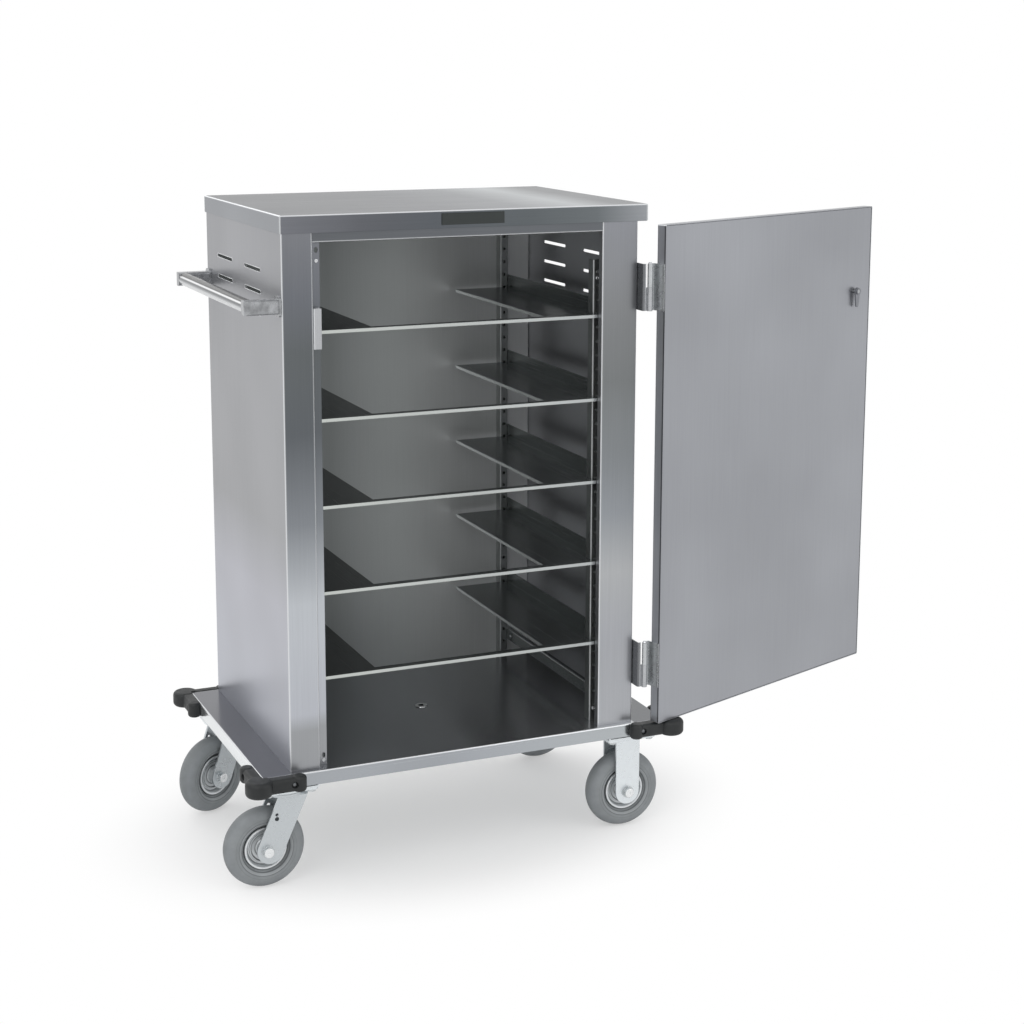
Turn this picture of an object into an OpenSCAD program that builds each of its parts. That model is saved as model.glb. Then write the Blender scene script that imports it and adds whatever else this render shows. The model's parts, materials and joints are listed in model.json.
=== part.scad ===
// Enclosed meal tray cart: a sheet-metal cabinet on a castered deck, with one
// side-hung door, five open tray shelves, a push handle and corner bumpers.
// Origin: on the floor under the middle of the cabinet. +X is the door's hinge
// side, -Y is the front, +Z is up. All lengths are in millimetres.

/* [Cabinet] */
// Width across the side panels
body_w = 690; // [640:5:760]
// Depth from the face of the jambs to the back
body_d = 500; // [460:5:600]
// Height from the deck to the top of the cap
body_h = 1005; // [980:5:1200]
// Thickness of the cabinet sheet
sheet_t = 1.5; // [1:0.1:2]
// Inside radius of a sheet fold
fold_r = 1.5; // [1:0.5:3]
// Width of the side panels' rear flanges
rear_flange_w = 18; // [12:1:30]

/* [Top cap] */
// Height of the cap's skirt
cap_skirt_h = 32; // [24:1:45]
// How far the cap stands proud at the front, the back and the handle side
cap_lap = 2; // [1.8:0.1:4]
// How far the cap overhangs the hinge side
cap_over_hinge = 19; // [8:1:24]

/* [Deck] */
// Thickness of the deck plate
deck_t = 2; // [1.5:0.5:3]
// Height of the deck's skirt
deck_skirt_h = 26; // [24:1:31]
// Deck beyond the cabinet on the handle side
deck_left = 56; // [55:1:80]
// Deck beyond the cabinet on the hinge side
deck_right = 66; // [56:1:80]
// Deck beyond the cabinet at the front
deck_front = 12.5; // [10:0.5:20]
// Deck beyond the cabinet at the back
deck_back = 2; // [1:0.5:12]
// Radius of the deck's corners
deck_corner_r = 6; // [4:1:12]
// Diameter of the drain's bore
drain_bore = 10; // [6:1:16]

/* [Door frame] */
// Face width of the jamb on the latch side
left_jamb_w = 57; // [50:1:66]
// Face width of the jamb on the hinge side
right_jamb_w = 73; // [60:1:76]
// How deep the jambs turn into the opening
jamb_return = 15; // [14.8:0.1:15.6]
// Width of the stop flange inside the latch-side jamb
stop_w = 17; // [12:1:20]
// Height of the header that shows below the cap
header_h = 17; // [12:1:24]
// Depth of the header's lower return
header_return = 12; // [8:1:12]

/* [Vents] */
// Length of a vent slot
vent_len = 104; // [60:2:120]
// Height of a vent slot
vent_h = 6; // [4:0.5:9]
// Rows of slots
vent_rows = 3; // [1:1:4]
// Distance between rows
vent_pitch = 39.5; // [25:0.5:45]
// Distance from the cap's top to the first row
vent_drop = 108; // [80:1:120]
// Distance between the two columns' middles
vent_columns = 187; // [140:1:220]

/* [Rack] */
// Height of the lowest shelf above the deck
shelf_first = 165; // [120:1:180]
// Distance between shelves
shelf_pitch = 158.5; // [140:0.5:160]
// Width of a shelf over its guides
shelf_w = 576; // [540:2:580]
// Width of each side ledge
ledge_w = 118; // [60:2:140]
// Thickness of the shelf sheet
shelf_t = 1.2; // [1:0.1:2]
// Depth of the shelf's front bar
shelf_bar = 17; // [12:1:17]
// Height of the tray guides beside the ledges
guide_h = 26; // [12:1:40]
// Height of the turned-down lips
shelf_lip = 6; // [4:0.5:10]
// Width of a rack post
post_w = 18; // [16:1:30]
// Depth of a rack post
post_d = 20; // [14:1:26]
// Diameter of the punched holes in the posts
post_hole = 6; // [3:0.5:9]
// Height of the front posts
front_post_h = 900; // [850:5:930]
// Height of the middle of the low guide rails
low_rail_z = 48; // [30:1:70]
// Height of the low guide rails' section
low_rail_h = 24; // [16:1:32]

/* [Door] */
// Thickness of the door
door_t = 22; // [18:1:22]
// Gap between the door and the jambs
door_gap = 2; // [1:0.5:3]
// Gap between the door and the cap's skirt
door_top_gap = 5; // [3:1:10]
// Gap between the door and the deck
door_foot_gap = 3; // [2:0.5:6]
// Width of the latch-side jamb that stays bare when the door is shut
door_reveal = 45.5; // [40:0.5:48]
// Angle from shut at which the door stands
door_open = 200.4; // [0:0.2:270]

/* [Hinges] */
// Length of a hinge
hinge_len = 88; // [60:2:120]
// Distance from the door's end to the middle of a hinge
hinge_inset = 117; // [80:1:160]
// How far the hinge axis stands outside the side panel
hinge_out = 13; // [12:0.5:15]
// How far the hinge axis stands in front of the jambs
hinge_fore = 26; // [26:0.5:28]
// Thickness of a hinge leaf
leaf_t = 2; // [1.5:0.1:2.2]
// Depth of the frame leaf along the side panel
leaf_d = 34; // [25:1:50]
// Diameter of a hinge pin
pin_d = 5; // [4:0.5:6]
// Wall of a hinge knuckle
knuckle_wall = 2.5; // [1.5:0.1:3]

/* [Latch] */
// Height of the latch above the deck
latch_z = 795.5; // [700:0.5:880]
// Distance from the cabinet's side to the latch spindle
latch_x = 97.5; // [94:0.5:100]
// Reach of the pawl from the spindle
pawl_reach = 33; // [30:0.5:35]
// Length of the lever
lever_len = 105; // [70:1:140]
// Height of the keeper
keeper_h = 72; // [50:1:100]
// Diameter of the spindle
spindle_d = 8; // [6:0.5:10]

/* [Handle] */
// Diameter of the handle tube
grip_d = 25; // [20:1:30]
// Wall of the handle tube
grip_wall = 1.6; // [1.2:0.1:2.5]
// Distance from the side panel to the tube's axis
grip_out = 52; // [48:1:80]
// Height of the tube's axis above the deck
grip_z = 846; // [750:1:860]
// Distance from the cabinet's front and back to the arms' axes
grip_inset = 16; // [15:0.5:30]
// Width and height of the brackets' cast arms
arm_w = 26; // [22:1:29]

/* [Bumpers] */
// Height of a bumper
bumper_h = 30; // [24:1:34]
// How far a bumper's legs stand out
bumper_t = 20; // [16:1:26]
// Distance from the deck's corner to the end knobs' middles
bumper_leg = 66; // [60:1:90]
// Radius of the knobs at the ends
knob_r = 13; // [10:1:16]
// Radius of the knob round the deck's corner
corner_r = 25; // [20:1:30]

/* [Casters] */
// Diameter of a wheel
wheel_d = 152; // [125:1:160]
// Width of a tyre
tyre_w = 40; // [32:1:44]
// Height of a caster
caster_h = 194; // [190:1:210]
// Depth of the caster channels below the deck
channel_drop = 32; // [31:1:50]
// Distance from the deck's front and back edges to the kingpins
caster_inset = 54.5; // [52:0.5:70]
// Trail of the swivel casters
trail = 41; // [30:1:45]
// Angle at which the front swivel caster stands
front_swivel = 0; // [-180:1:180]
// Angle at which the rear swivel caster stands
rear_swivel = 26; // [-180:1:180]
// Thickness of the fork's steel
fork_t = 4; // [3:0.5:5]
// Clear width inside the fork
fork_gap = 50; // [48:1:56]
// Diameter of an axle
axle_d = 12; // [10:0.5:14]
// Diameter of a kingpin
kingpin_d = 16; // [12:0.5:20]
// Bolt spacing of the top plates along X
bolt_x = 80; // [76:1:82]
// Bolt spacing of the top plates along Y
bolt_y = 78; // [76:1:80]
// Diameter of the top plates' bolts
bolt_d = 8; // [6:0.5:10]

/* [Hidden] */
$fn = 64;

// Clearances: a shaft in its bore, faces that are only near, and a cut's overrun
run = 0.05;
near = 0.3;
cut = 1;

// Places that several pieces share
deck_z = caster_h + channel_drop;
cap_under = body_h - sheet_t;
wall_top = cap_under - fold_r;
skirt_low = body_h - cap_skirt_h;
bend_r = fold_r + sheet_t / 2;
open_left = left_jamb_w + stop_w;
open_right = body_w - right_jamb_w;
shelf_left = (body_w - shelf_w) / 2;
shelf_right = shelf_left + shelf_w;
shelf_front = jamb_return + sheet_t / 2 + 1.25;
front_post_y = shelf_front + shelf_bar + near + sheet_t / 2;
rear_post_y = body_d - 2 * sheet_t - post_d - near;
shelf_back = rear_post_y - near;
hole_pitch = shelf_pitch / 6;
door_left = door_reveal;
door_right = body_w - 0.5 - leaf_t;
door_w = door_right - door_left;
door_low = door_foot_gap;
door_high = skirt_low - door_top_gap;
door_h = door_high - door_low;
door_face = -door_gap - door_t;
hinge_x = body_w + hinge_out;
hinge_y = -hinge_fore;
knuckle_r = pin_d / 2 + run + knuckle_wall;
hinge_low = door_low + hinge_inset;
hinge_high = door_high - hinge_inset;
axle_drop = caster_h - wheel_d / 2;
wheel_r = wheel_d / 2;
plate_t = 5;
plate_x = bolt_x + 24;
plate_y = bolt_y + 20;
bolt_play = 1;
race_drop = plate_t + 9;

// ---------- helpers ----------

// Points of an arc about c, from angle a0 to a1
function arc(c, r, a0, a1, n = 5) =
  [for (i = [0:n]) c + r * [cos(a0 + (a1 - a0) * i / n), sin(a0 + (a1 - a0) * i / n)]];
function unit(v) = v / norm(v);
function left_of(v) = [-v.y, v.x];
function turn(a, b) = atan2(a.x * b.y - a.y * b.x, a * b);
// One fold of a sheet's middle line: the arc at corner b, at offset s to the left
function fold(a, b, c, r, s) =
  let (d0 = unit(b - a), d1 = unit(c - b), t = turn(d0, d1), k = sign(t),
       m = b - d0 * r * tan(abs(t) / 2) + left_of(d0) * r * k,
       w = atan2(-left_of(d0).y * k, -left_of(d0).x * k))
  arc(m, r - k * s, w, w + t, 4);
// A whole side of a folded sheet, at offset s to the left of its middle line
function side(p, r, s) = let (e = len(p) - 1) concat(
  [p[0] + left_of(unit(p[1] - p[0])) * s],
  [for (i = [1:1:e - 1]) each fold(p[i - 1], p[i], p[i + 1], r, s)],
  [p[e] + left_of(unit(p[e] - p[e - 1])) * s]);
function backwards(p) = [for (i = [len(p) - 1:-1:0]) p[i]];
// Angles of the tangents from point p to a circle
function tangent(p, c, r, k) = atan2(p.y - c.y, p.x - c.x) + k * acos(r / norm(p - c));

// Section of a sheet folded along the middle line p
module folded(p, t = sheet_t, r = bend_r) {
  polygon(concat(side(p, r, t / 2), backwards(side(p, r, -t / 2))));
}
// Extrudes a section: its first axis to Y and its second to Z, or to X and Z
module along_x(l) { rotate([90, 0, 90]) linear_extrude(l) children(); }
module along_y(l) { translate([0, l, 0]) rotate([90, 0, 0]) linear_extrude(l) children(); }
module bored(d, l) { translate([0, 0, -cut]) cylinder(d = d, h = l + 2 * cut); }

// Rectangle from the origin with rounded upper corners
module arch(w, h, r) {
  polygon(concat([[0, -h], [w, -h]], arc([w - r, -r], r, 0, 90), arc([r, -r], r, 90, 180)));
}
// Rectangle from the origin with all corners rounded
module soft_plan(w, d, r) {
  polygon(concat(arc([w - r, r], r, -90, 0), arc([w - r, d - r], r, 0, 90),
    arc([r, d - r], r, 90, 180), arc([r, r], r, 180, 270)));
}
// Block with softened upper edges and corners, hanging from z = 0
module soft_block(w, d, h, r_edge, r_corner) {
  intersection() {
    along_y(d) arch(w, h, r_edge);
    along_x(w) arch(d, h, r_edge);
    translate([0, 0, -h]) linear_extrude(h) soft_plan(w, d, r_corner);
  }
}
// Shallow pan: a plate with its skirt turned down all round
module pan(w, d, h, t, r_corner) {
  difference() {
    soft_block(w, d, h, fold_r + t, r_corner);
    translate([t, t, -t]) soft_block(w - 2 * t, d - 2 * t, h, fold_r, r_corner - t);
  }
}
// Round-headed screw: head above z = 0, shank below
screw_d = 5;
screw_len = 6.5;
module screw(l = screw_len) {
  dome_z = -screw_d * 0.9;
  dome_r = screw_d * 1.345;
  rotate_extrude()
    polygon(concat([[0, -l], [screw_d / 2, -l], [screw_d / 2, 0], [screw_d, 0]],
      arc([0, dome_z], dome_r, 42, 90, 5)));
}
module screw_hole(l = screw_len) {
  translate([0, 0, -l - 4 * cut]) cylinder(d = screw_d + 4 * run, h = l + 8 * cut);
}
module hexagon(across, h) { rotate([0, 0, 30]) cylinder(d = across / cos(30), h = h, $fn = 6); }

// Frames of the pieces
module on_deck() { translate([-body_w / 2, -body_d / 2, deck_z]) children(); }
module on_door() {
  on_deck() translate([hinge_x, hinge_y, 0]) rotate([0, 0, door_open])
    translate([-hinge_x, -hinge_y, 0]) children();
}
// Kingpin of a caster: side 0 is the handle side and 1 the hinge side
module on_mount(side, row) {
  y = row == 0 ? caster_inset - deck_front : body_d + deck_back - caster_inset;
  translate([(side - 0.5) * body_w, y - body_d / 2, caster_h]) children();
}
module on_swivel(row) { on_mount(0, row) rotate([0, 0, row == 0 ? front_swivel : rear_swivel]) children(); }

// ---------- deck ----------

module chassis_deck() {
  color("silver") on_deck() difference() {
    translate([-deck_left, -deck_front, 0])
      pan(body_w + deck_left + deck_right, body_d + deck_front + deck_back,
        deck_skirt_h, deck_t, deck_corner_r);
    translate([body_w / 2, drain_y, -deck_t]) bored(drain_bore + 2 * drain_wall + 4 * run, deck_t);
    bumper_screws() screw_hole(bumper_shank);
  }
}
drain_y = 243;
drain_wall = 2;
drain_rim = 1.6;
channel_t = 3;
channel_in = deck_t + fold_r + near;
channel_w = 104;
module caster_channel(side) {
  half = (channel_w - channel_t) / 2;
  low = channel_t / 2 - channel_drop;
  color("gainsboro") difference() {
    on_deck() translate([side * body_w, channel_in - deck_front, 0])
      along_y(body_d + deck_front + deck_back - 2 * channel_in)
        folded([[-half, -deck_t], [-half, low], [half, low], [half, -deck_t]],
          channel_t, fold_r + channel_t / 2);
    for (row = [0, 1]) on_mount(side, row) plate_holes() bored(bolt_d + bolt_play, channel_t);
  }
}
module floor_drain() {
  color("lightgray") on_deck() translate([body_w / 2, drain_y, 0]) rotate_extrude()
    translate([drain_bore / 2, 0]) polygon([[0, -deck_t - 6], [drain_wall, -deck_t - 6], [drain_wall, 0],
      [8, 0], [7, drain_rim], [1, drain_rim], [0, 1]]);
}

// ---------- cabinet ----------

// A vent slot through the sheet along X, centred on its middle
module vent_slot() {
  w = vent_len - vent_h;
  translate([-cut - sheet_t, -w / 2, -vent_h / 2]) cube([2 * sheet_t + 2 * cut, w, vent_h]);
  for (y = [-w / 2, w / 2]) translate([-cut - sheet_t, y, 0]) rotate([0, 90, 0])
    cylinder(d = vent_h, h = 2 * sheet_t + 2 * cut, $fn = 24);
}
module vent_slots() {
  for (row = [0:vent_rows - 1], k = [-0.5, 0.5])
    translate([0, vent_middle + k * vent_columns, body_h - vent_drop - row * vent_pitch]) vent_slot();
}
vent_middle = 273.5;

module left_side_panel() {
  h = sheet_t / 2;
  color("silver") on_deck() difference() {
    linear_extrude(wall_top) folded([[rear_flange_w, body_d - h], [h, body_d - h], [h, h],
      [left_jamb_w - h, h], [left_jamb_w - h, jamb_return], [open_left, jamb_return]]);
    vent_slots();
    handle_screws() screw_hole();
    stop_holes();
  }
}
// Two upright holes in the stop flange, near its ends
stop_hole_x = 10.6;
stop_hole_w = 6.4;
stop_hole_h = 10;
stop_hole_low = 18;
stop_hole_high = wall_top - 60;
module stop_holes() {
  k = (stop_hole_h - stop_hole_w) / 2;
  for (z = [stop_hole_low, stop_hole_high])
    translate([left_jamb_w + stop_hole_x, jamb_return + 2 * sheet_t, z]) rotate([90, 0, 0]) {
      translate([-stop_hole_w / 2, -k, 0]) cube([stop_hole_w, 2 * k, 4 * sheet_t]);
      for (y = [-k, k]) translate([0, y, 0]) cylinder(d = stop_hole_w, h = 4 * sheet_t, $fn = 24);
    }
}
module right_side_panel() {
  h = sheet_t / 2;
  color("silver") on_deck() difference() {
    linear_extrude(wall_top) folded([[body_w - rear_flange_w, body_d - h], [body_w - h, body_d - h],
      [body_w - h, h], [open_right + h, h], [open_right + h, jamb_return]]);
    translate([body_w, 0, 0]) vent_slots();
    hinge_screws() screw_hole();
  }
}
module back_panel() {
  m = sheet_t + fold_r + near;
  color("silver") on_deck() translate([m, body_d - 2 * sheet_t, 0])
    cube([body_w - 2 * m, sheet_t, cap_under]);
}
module top_cap() {
  color("lightgray") on_deck() translate([-cap_lap, -cap_lap, body_h])
    pan(body_w + cap_lap + cap_over_hinge, body_d + 2 * cap_lap, cap_skirt_h, sheet_t, fold_r + sheet_t);
}
header_lip = 9;
module header_rail() {
  y = sheet_t * 1.5;
  low = skirt_low - header_h + sheet_t / 2;
  color("silver") on_deck() translate([left_jamb_w, 0, 0]) along_x(open_right - left_jamb_w)
    folded([[y, cap_under], [y, low], [header_return, low], [header_return, low + header_lip]]);
}

// ---------- rack ----------

module rack_post(x, y, h) {
  t = sheet_t / 2;
  color("darkgray") on_deck() difference() {
    translate([x, y, 0]) linear_extrude(h)
      folded([[t, post_d], [t, t], [post_w - t, t], [post_w - t, post_d]]);
    for (z = [shelf_first - 5 * hole_pitch:hole_pitch:h - hole_pitch / 2])
      translate([x + post_w / 2, y - cut, z]) rotate([-90, 0, 0])
        cylinder(d = post_hole, h = sheet_t + 2 * cut, $fn = 20);
  }
}
module front_post_left() { rack_post(shelf_left, front_post_y, front_post_h); }
module front_post_right() { rack_post(shelf_right - post_w, front_post_y, front_post_h); }
module rear_post_left() { rack_post(shelf_left, rear_post_y, cap_under); }
module rear_post_right() { rack_post(shelf_right - post_w, rear_post_y, cap_under); }

// U-shaped shelf: a front bar, two ledges notched round the front posts, and tray guides
module tray_shelf(level) {
  notch_y = front_post_y - near;
  notch_d = post_d + 2 * near;
  color("gray") on_deck() translate([0, 0, shelf_first + (level - 1) * shelf_pitch]) difference() {
    union() {
      translate([shelf_left, shelf_front, -shelf_t]) cube([shelf_w, shelf_bar, shelf_t]);
      for (x = [shelf_left, shelf_right - ledge_w])
        translate([x, shelf_front, -shelf_t]) cube([ledge_w, shelf_back - shelf_front, shelf_t]);
      // lips along the front bar, both its edges, and along the ledges
      for (y = [shelf_front, shelf_front + shelf_bar - shelf_t])
        translate([shelf_left + ledge_w - shelf_t, y, -shelf_lip])
          cube([shelf_w - 2 * ledge_w + 2 * shelf_t, shelf_t, shelf_lip]);
      for (x = [shelf_left, shelf_right - ledge_w])
        translate([x, shelf_front, -shelf_lip]) cube([ledge_w, shelf_t, shelf_lip]);
      for (x = [shelf_left + ledge_w - shelf_t, shelf_right - ledge_w])
        translate([x, shelf_front + shelf_bar - shelf_t, -shelf_lip])
          cube([shelf_t, shelf_back - shelf_front - shelf_bar + shelf_t, shelf_lip]);
      for (x = [shelf_left, shelf_right - shelf_t]) translate([x, notch_y + notch_d, -shelf_t])
        cube([shelf_t, shelf_back - notch_y - notch_d, guide_h + shelf_t]);
    }
    for (x = [shelf_left - cut, shelf_right - post_w - near])
      translate([x, notch_y, -shelf_t - cut]) cube([post_w + near + cut, notch_d, guide_h]);
  }
}

// Low rail between the posts, level with a tray that stands on the deck
low_rail_w = 9;
module low_guide(x, k) {
  t = sheet_t / 2;
  h = low_rail_h / 2;
  y = front_post_y + post_d + near;
  color("gray") on_deck() translate([x, y, low_rail_z]) along_y(rear_post_y - near - y)
    folded([[k * low_rail_w, -h], [k * t, -h], [k * t, h], [k * low_rail_w, h]]);
}
module low_guide_left() { low_guide(shelf_left + sheet_t, -1); }
module low_guide_right() { low_guide(shelf_right - sheet_t, 1); }

// ---------- handle ----------

module grip_axis(y) { translate([-grip_out, y, grip_z]) children(); }
module handle_tube() {
  from = grip_inset + arm_w / 2;
  l = body_d - 2 * from;
  color("lightsteelblue") on_deck() grip_axis(from) rotate([-90, 0, 0]) difference() {
    cylinder(d = grip_d, h = l);
    bored(grip_d - 2 * grip_wall, l);
  }
}
flange_t = 4;
flange_y = 30;
flange_z = 36;
flange_r = 8;
flange_screw = 6;
spigot_len = 20;
// Cast bracket: flange, an arm whose end is rounded off at the corner, and the spigot inside the tube
module handle_bracket() {
  reach = grip_out + grip_d / 2;
  end_r = 10;
  soft_r = 6;
  difference() {
    union() {
      translate([-flange_t, grip_inset - flange_y / 2, grip_z - flange_z / 2])
        along_x(flange_t) soft_plan(flange_y, flange_z, flange_r);
      translate([-reach, grip_inset - arm_w / 2, grip_z]) intersection() {
        translate([0, 0, -arm_w / 2]) along_x(reach - flange_t / 2) soft_plan(arm_w, arm_w, soft_r);
        translate([0, 0, -arm_w]) linear_extrude(2 * arm_w)
          polygon(concat(arc([end_r, end_r], end_r, 180, 270, 6),
            [[2 * reach, 0], [2 * reach, arm_w], [0, arm_w]]));
      }
      grip_axis(grip_inset + arm_w / 2 - 1) rotate([-90, 0, 0])
        cylinder(d = grip_d - 2 * grip_wall - 4 * run, h = 1 + spigot_len);
    }
    handle_screws() screw_hole();
  }
}
module handle_bracket_front() { color("silver") on_deck() handle_bracket(); }
module handle_bracket_rear() {
  color("silver") on_deck() translate([0, body_d, 0]) mirror([0, 1, 0]) handle_bracket();
}

// ---------- bumpers ----------

knob_out = bumper_t - knob_r + 3;
// The corner knob's middle lies this far outside both of the deck's edges
corner_out = 9;
leg_h = bumper_h - 3;
bumper_z = -deck_skirt_h / 2;
// The leg's screw stands this far before the end knob's middle, in a bed sunk below the leg's face
bumper_screw = bumper_leg - 11;
screw_bed = bumper_t - 4;
bed_r = screw_d + 1;
bumper_shank = screw_bed + deck_t + 0.5;
// Half of a rounded section, from the axis or the deck outwards
function bulge(w, h, r) = concat([[0, -h / 2]], arc([w - r, r - h / 2], r, -90, 0),
  arc([w - r, h / 2 - r], r, 0, 90), [[0, h / 2]]);
// Bumper of the corner at the origin: the deck lies at +X and +Y
module bumper() {
  leg = bulge(bumper_t, leg_h, 7);
  difference() {
    union() {
      along_x(bumper_leg) polygon([for (p = leg) [-p.x, p.y]]);
      along_y(bumper_leg) polygon([for (p = leg) [-p.x, p.y]]);
      translate([-corner_out, -corner_out, 0]) rotate_extrude() polygon(bulge(corner_r, bumper_h, 8));
      for (p = [[bumper_leg, -knob_out], [-knob_out, bumper_leg]])
        translate([p.x, p.y, 0]) rotate_extrude() polygon(bulge(knob_r, bumper_h, 6));
    }
    translate([0, 0, -bumper_h]) cube([2 * bumper_leg, 2 * bumper_leg, 2 * bumper_h]);
    bumper_screw_pair() {
      screw_hole(bumper_shank);
      translate([0, 0, -near]) cylinder(r = bed_r, h = 2 * corner_r);
    }
  }
}
module bumper_screw_pair() {
  translate([bumper_screw, -screw_bed, 0]) rotate([90, 0, 0]) children();
  translate([-screw_bed, bumper_screw, 0]) rotate([0, -90, 0]) children();
}
module on_corner(side, row) {
  on_deck() translate([side == 0 ? -deck_left : body_w + deck_right,
    row == 0 ? -deck_front : body_d + deck_back, bumper_z])
    mirror([side, 0, 0]) mirror([0, row, 0]) children();
}
module bumper_screws() {
  translate([body_w / 2, body_d / 2, -deck_z])
    for (side = [0, 1], row = [0, 1]) on_corner(side, row) bumper_screw_pair() children();
}
module corner_bumper(side, row) { color([0.13, 0.14, 0.15]) on_corner(side, row) bumper(); }

// ---------- hinges ----------

// A leaf wraps from its carrier to the barrel; half of it carries the knuckle
neck = knuckle_r * 1.5;
leaf_bend = 1.2 + leaf_t / 2;
leaf_screw_in = 12;
leaf_screw_step = 6;
pin_head = 3;
module leaf(path, z, upper) {
  difference() {
    translate([0, 0, z - hinge_len / 2]) linear_extrude(hinge_len) folded(path, leaf_t, leaf_bend);
    // room for the other leaf's knuckle
    translate([hinge_x, hinge_y, upper ? z - hinge_len / 2 - cut : z - near / 2])
      cylinder(r = neck, h = hinge_len / 2 + cut + near / 2);
    translate([hinge_x, hinge_y, z - hinge_len / 2]) bored(pin_d + 2 * run, hinge_len);
  }
  translate([hinge_x, hinge_y, upper ? z + near / 2 : z - hinge_len / 2]) difference() {
    cylinder(r = knuckle_r, h = (hinge_len - near) / 2);
    bored(pin_d + 2 * run, hinge_len);
  }
}
module frame_leaf(z) {
  y = hinge_y + knuckle_r - leaf_t / 2;
  x = body_w + leaf_t / 2;
  color("silver") on_deck() difference() {
    leaf([[x, leaf_d], [x, y], [hinge_x, y]], z, false);
    hinge_screws() screw_hole();
  }
}
module door_leaf(z) {
  y = hinge_y - knuckle_r + leaf_t / 2;
  x = door_right + leaf_t / 2;
  color("silver") on_door() leaf([[x, -door_gap - 1], [x, y], [hinge_x, y]], z, true);
}
module hinge_screws() {
  rise = hinge_len / 2 - leaf_screw_in;
  for (z = [hinge_low, hinge_high], k = [-1:1])
    translate([body_w + leaf_t, leaf_d - leaf_screw_in - leaf_screw_step * abs(k), z + k * rise])
      rotate([0, 90, 0]) children();
}
module hinge_pins() {
  color("gainsboro") on_deck() for (z = [hinge_low, hinge_high])
    translate([hinge_x, hinge_y, z - hinge_len / 2]) {
      cylinder(d = pin_d, h = hinge_len + near);
      translate([0, 0, hinge_len + near]) cylinder(d1 = 2 * knuckle_r - 1, d2 = pin_d, h = pin_head);
    }
}

// ---------- door ----------

panel_t = 1;
module door_pan() {
  color("silver") on_door() difference() {
    translate([door_left, door_face, door_low]) rotate([90, 0, 0])
      pan(door_w, door_h, door_t, sheet_t, fold_r + sheet_t);
    on_spindle() bored(spindle_d + 2, 4 * door_t);
    on_spindle() escutcheon_screws() screw_hole();
  }
}
// Inner panel, let into the pan so that the pan's rim frames it
module door_inner_panel() {
  m = sheet_t + 2 * near;
  color("lightgray") on_door() difference() {
    translate([door_left + m, -door_gap - panel_t - 0.5, door_low + m])
      cube([door_w - 2 * m, panel_t, door_h - 2 * m]);
    on_spindle() bored(spindle_d + 2, 4 * door_t);
  }
}

// ---------- latch ----------

// Frame of the spindle inside the door's frame: it starts in front of the door and +Z points into the cabinet
spindle_out = 10;
plate_r = 26;
escutcheon_t = 3;
module on_spindle() { translate([latch_x, door_face - spindle_out, latch_z]) rotate([-90, 0, 0]) children(); }
module escutcheon_screws() {
  for (a = [45:90:315]) rotate([0, 0, a])
    translate([plate_r - screw_d - 1.5, 0, spindle_out - escutcheon_t]) rotate([180, 0, 0]) children();
}
module latch_escutcheon() {
  bore = spindle_d / 2 + 1;
  color("lightgray") on_door() on_spindle() difference() {
    translate([0, 0, spindle_out - escutcheon_t]) rotate_extrude()
      polygon([[bore, 0], [plate_r - 1, 0], [plate_r, 1], [plate_r, escutcheon_t], [bore, escutcheon_t]]);
    escutcheon_screws() screw_hole();
  }
}
// Lever outside the door, with its boss and the spindle in one piece. Pointing to the hinges, it is free.
lever_t = 9;
lever_stand = 6;
pawl_y = 5;
pawl_t = 3;
pawl_hub = 3;
module latch_lever() {
  tip = 8;
  boss = 13;
  back = spindle_out - escutcheon_t - near;
  color("silver") on_door() on_spindle() {
    translate([0, 0, back - lever_t - lever_stand]) {
      cylinder(r = boss, h = lever_t + lever_stand);
      linear_extrude(lever_t)
        polygon(concat([[0, boss - 1], [0, 1 - boss]], arc([lever_len, 0], tip, -90, 90, 10)));
    }
    cylinder(d = spindle_d, h = spindle_out - door_face + pawl_y + pawl_t / 2 + pawl_hub - 0.5);
  }
}
module latch_pawl() {
  w = 8;
  at = spindle_out - door_face + pawl_y - pawl_t / 2;
  color("gainsboro") on_door() on_spindle() {
    difference() {
      translate([0, 0, at]) linear_extrude(pawl_t) polygon(concat(arc([0, 0], w, 180, 360, 12),
        arc([0, pawl_reach - w / 2], w / 2, 0, 180, 8)));
      bored(spindle_d + 2 * run, 4 * door_t);
    }
    translate([0, 0, at + pawl_t]) difference() {
      cylinder(d = spindle_d + 5, h = pawl_hub);
      bored(spindle_d + 2 * run, pawl_hub);
    }
  }
}
keeper_up = 9;
module latch_keeper() {
  x = left_jamb_w + near + sheet_t / 2;
  y = jamb_return - sheet_t - 0.1;
  end = open_left - 2;
  color("gainsboro") on_deck() translate([0, 0, latch_z + keeper_up - keeper_h / 2])
    linear_extrude(keeper_h) folded([[end, y], [x, y], [x, sheet_t], [end, sheet_t]]);
}
module door_screws() { color("gainsboro") on_door() on_spindle() escutcheon_screws() screw(); }

// ---------- casters ----------

module plate_holes() {
  for (x = [-0.5, 0.5], y = [-0.5, 0.5]) translate([x * bolt_x, y * bolt_y, 0]) children();
}
module top_plate() {
  translate([0, 0, -plate_t]) linear_extrude(plate_t) translate([-plate_x / 2, -plate_y / 2])
    soft_plan(plate_x, plate_y, 9);
}
race_r = 38;
module swivel_plate(row) {
  nut_z = -race_drop - fork_t - near;
  color("gainsboro") on_mount(0, row) difference() {
    union() {
      top_plate();
      translate([0, 0, -plate_t]) rotate_extrude()
        polygon([[race_r - 5, 0], [race_r + 2, 0], [race_r, -5], [race_r - 1, -7], [race_r - 5, -7]]);
      translate([0, 0, nut_z - 10]) cylinder(d = kingpin_d, h = 10 - nut_z - 1);
      translate([0, 0, nut_z - 8]) hexagon(kingpin_d * 1.5, 8);
    }
    plate_holes() translate([0, 0, -plate_t]) bored(bolt_d + bolt_play, plate_t);
  }
}
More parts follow.
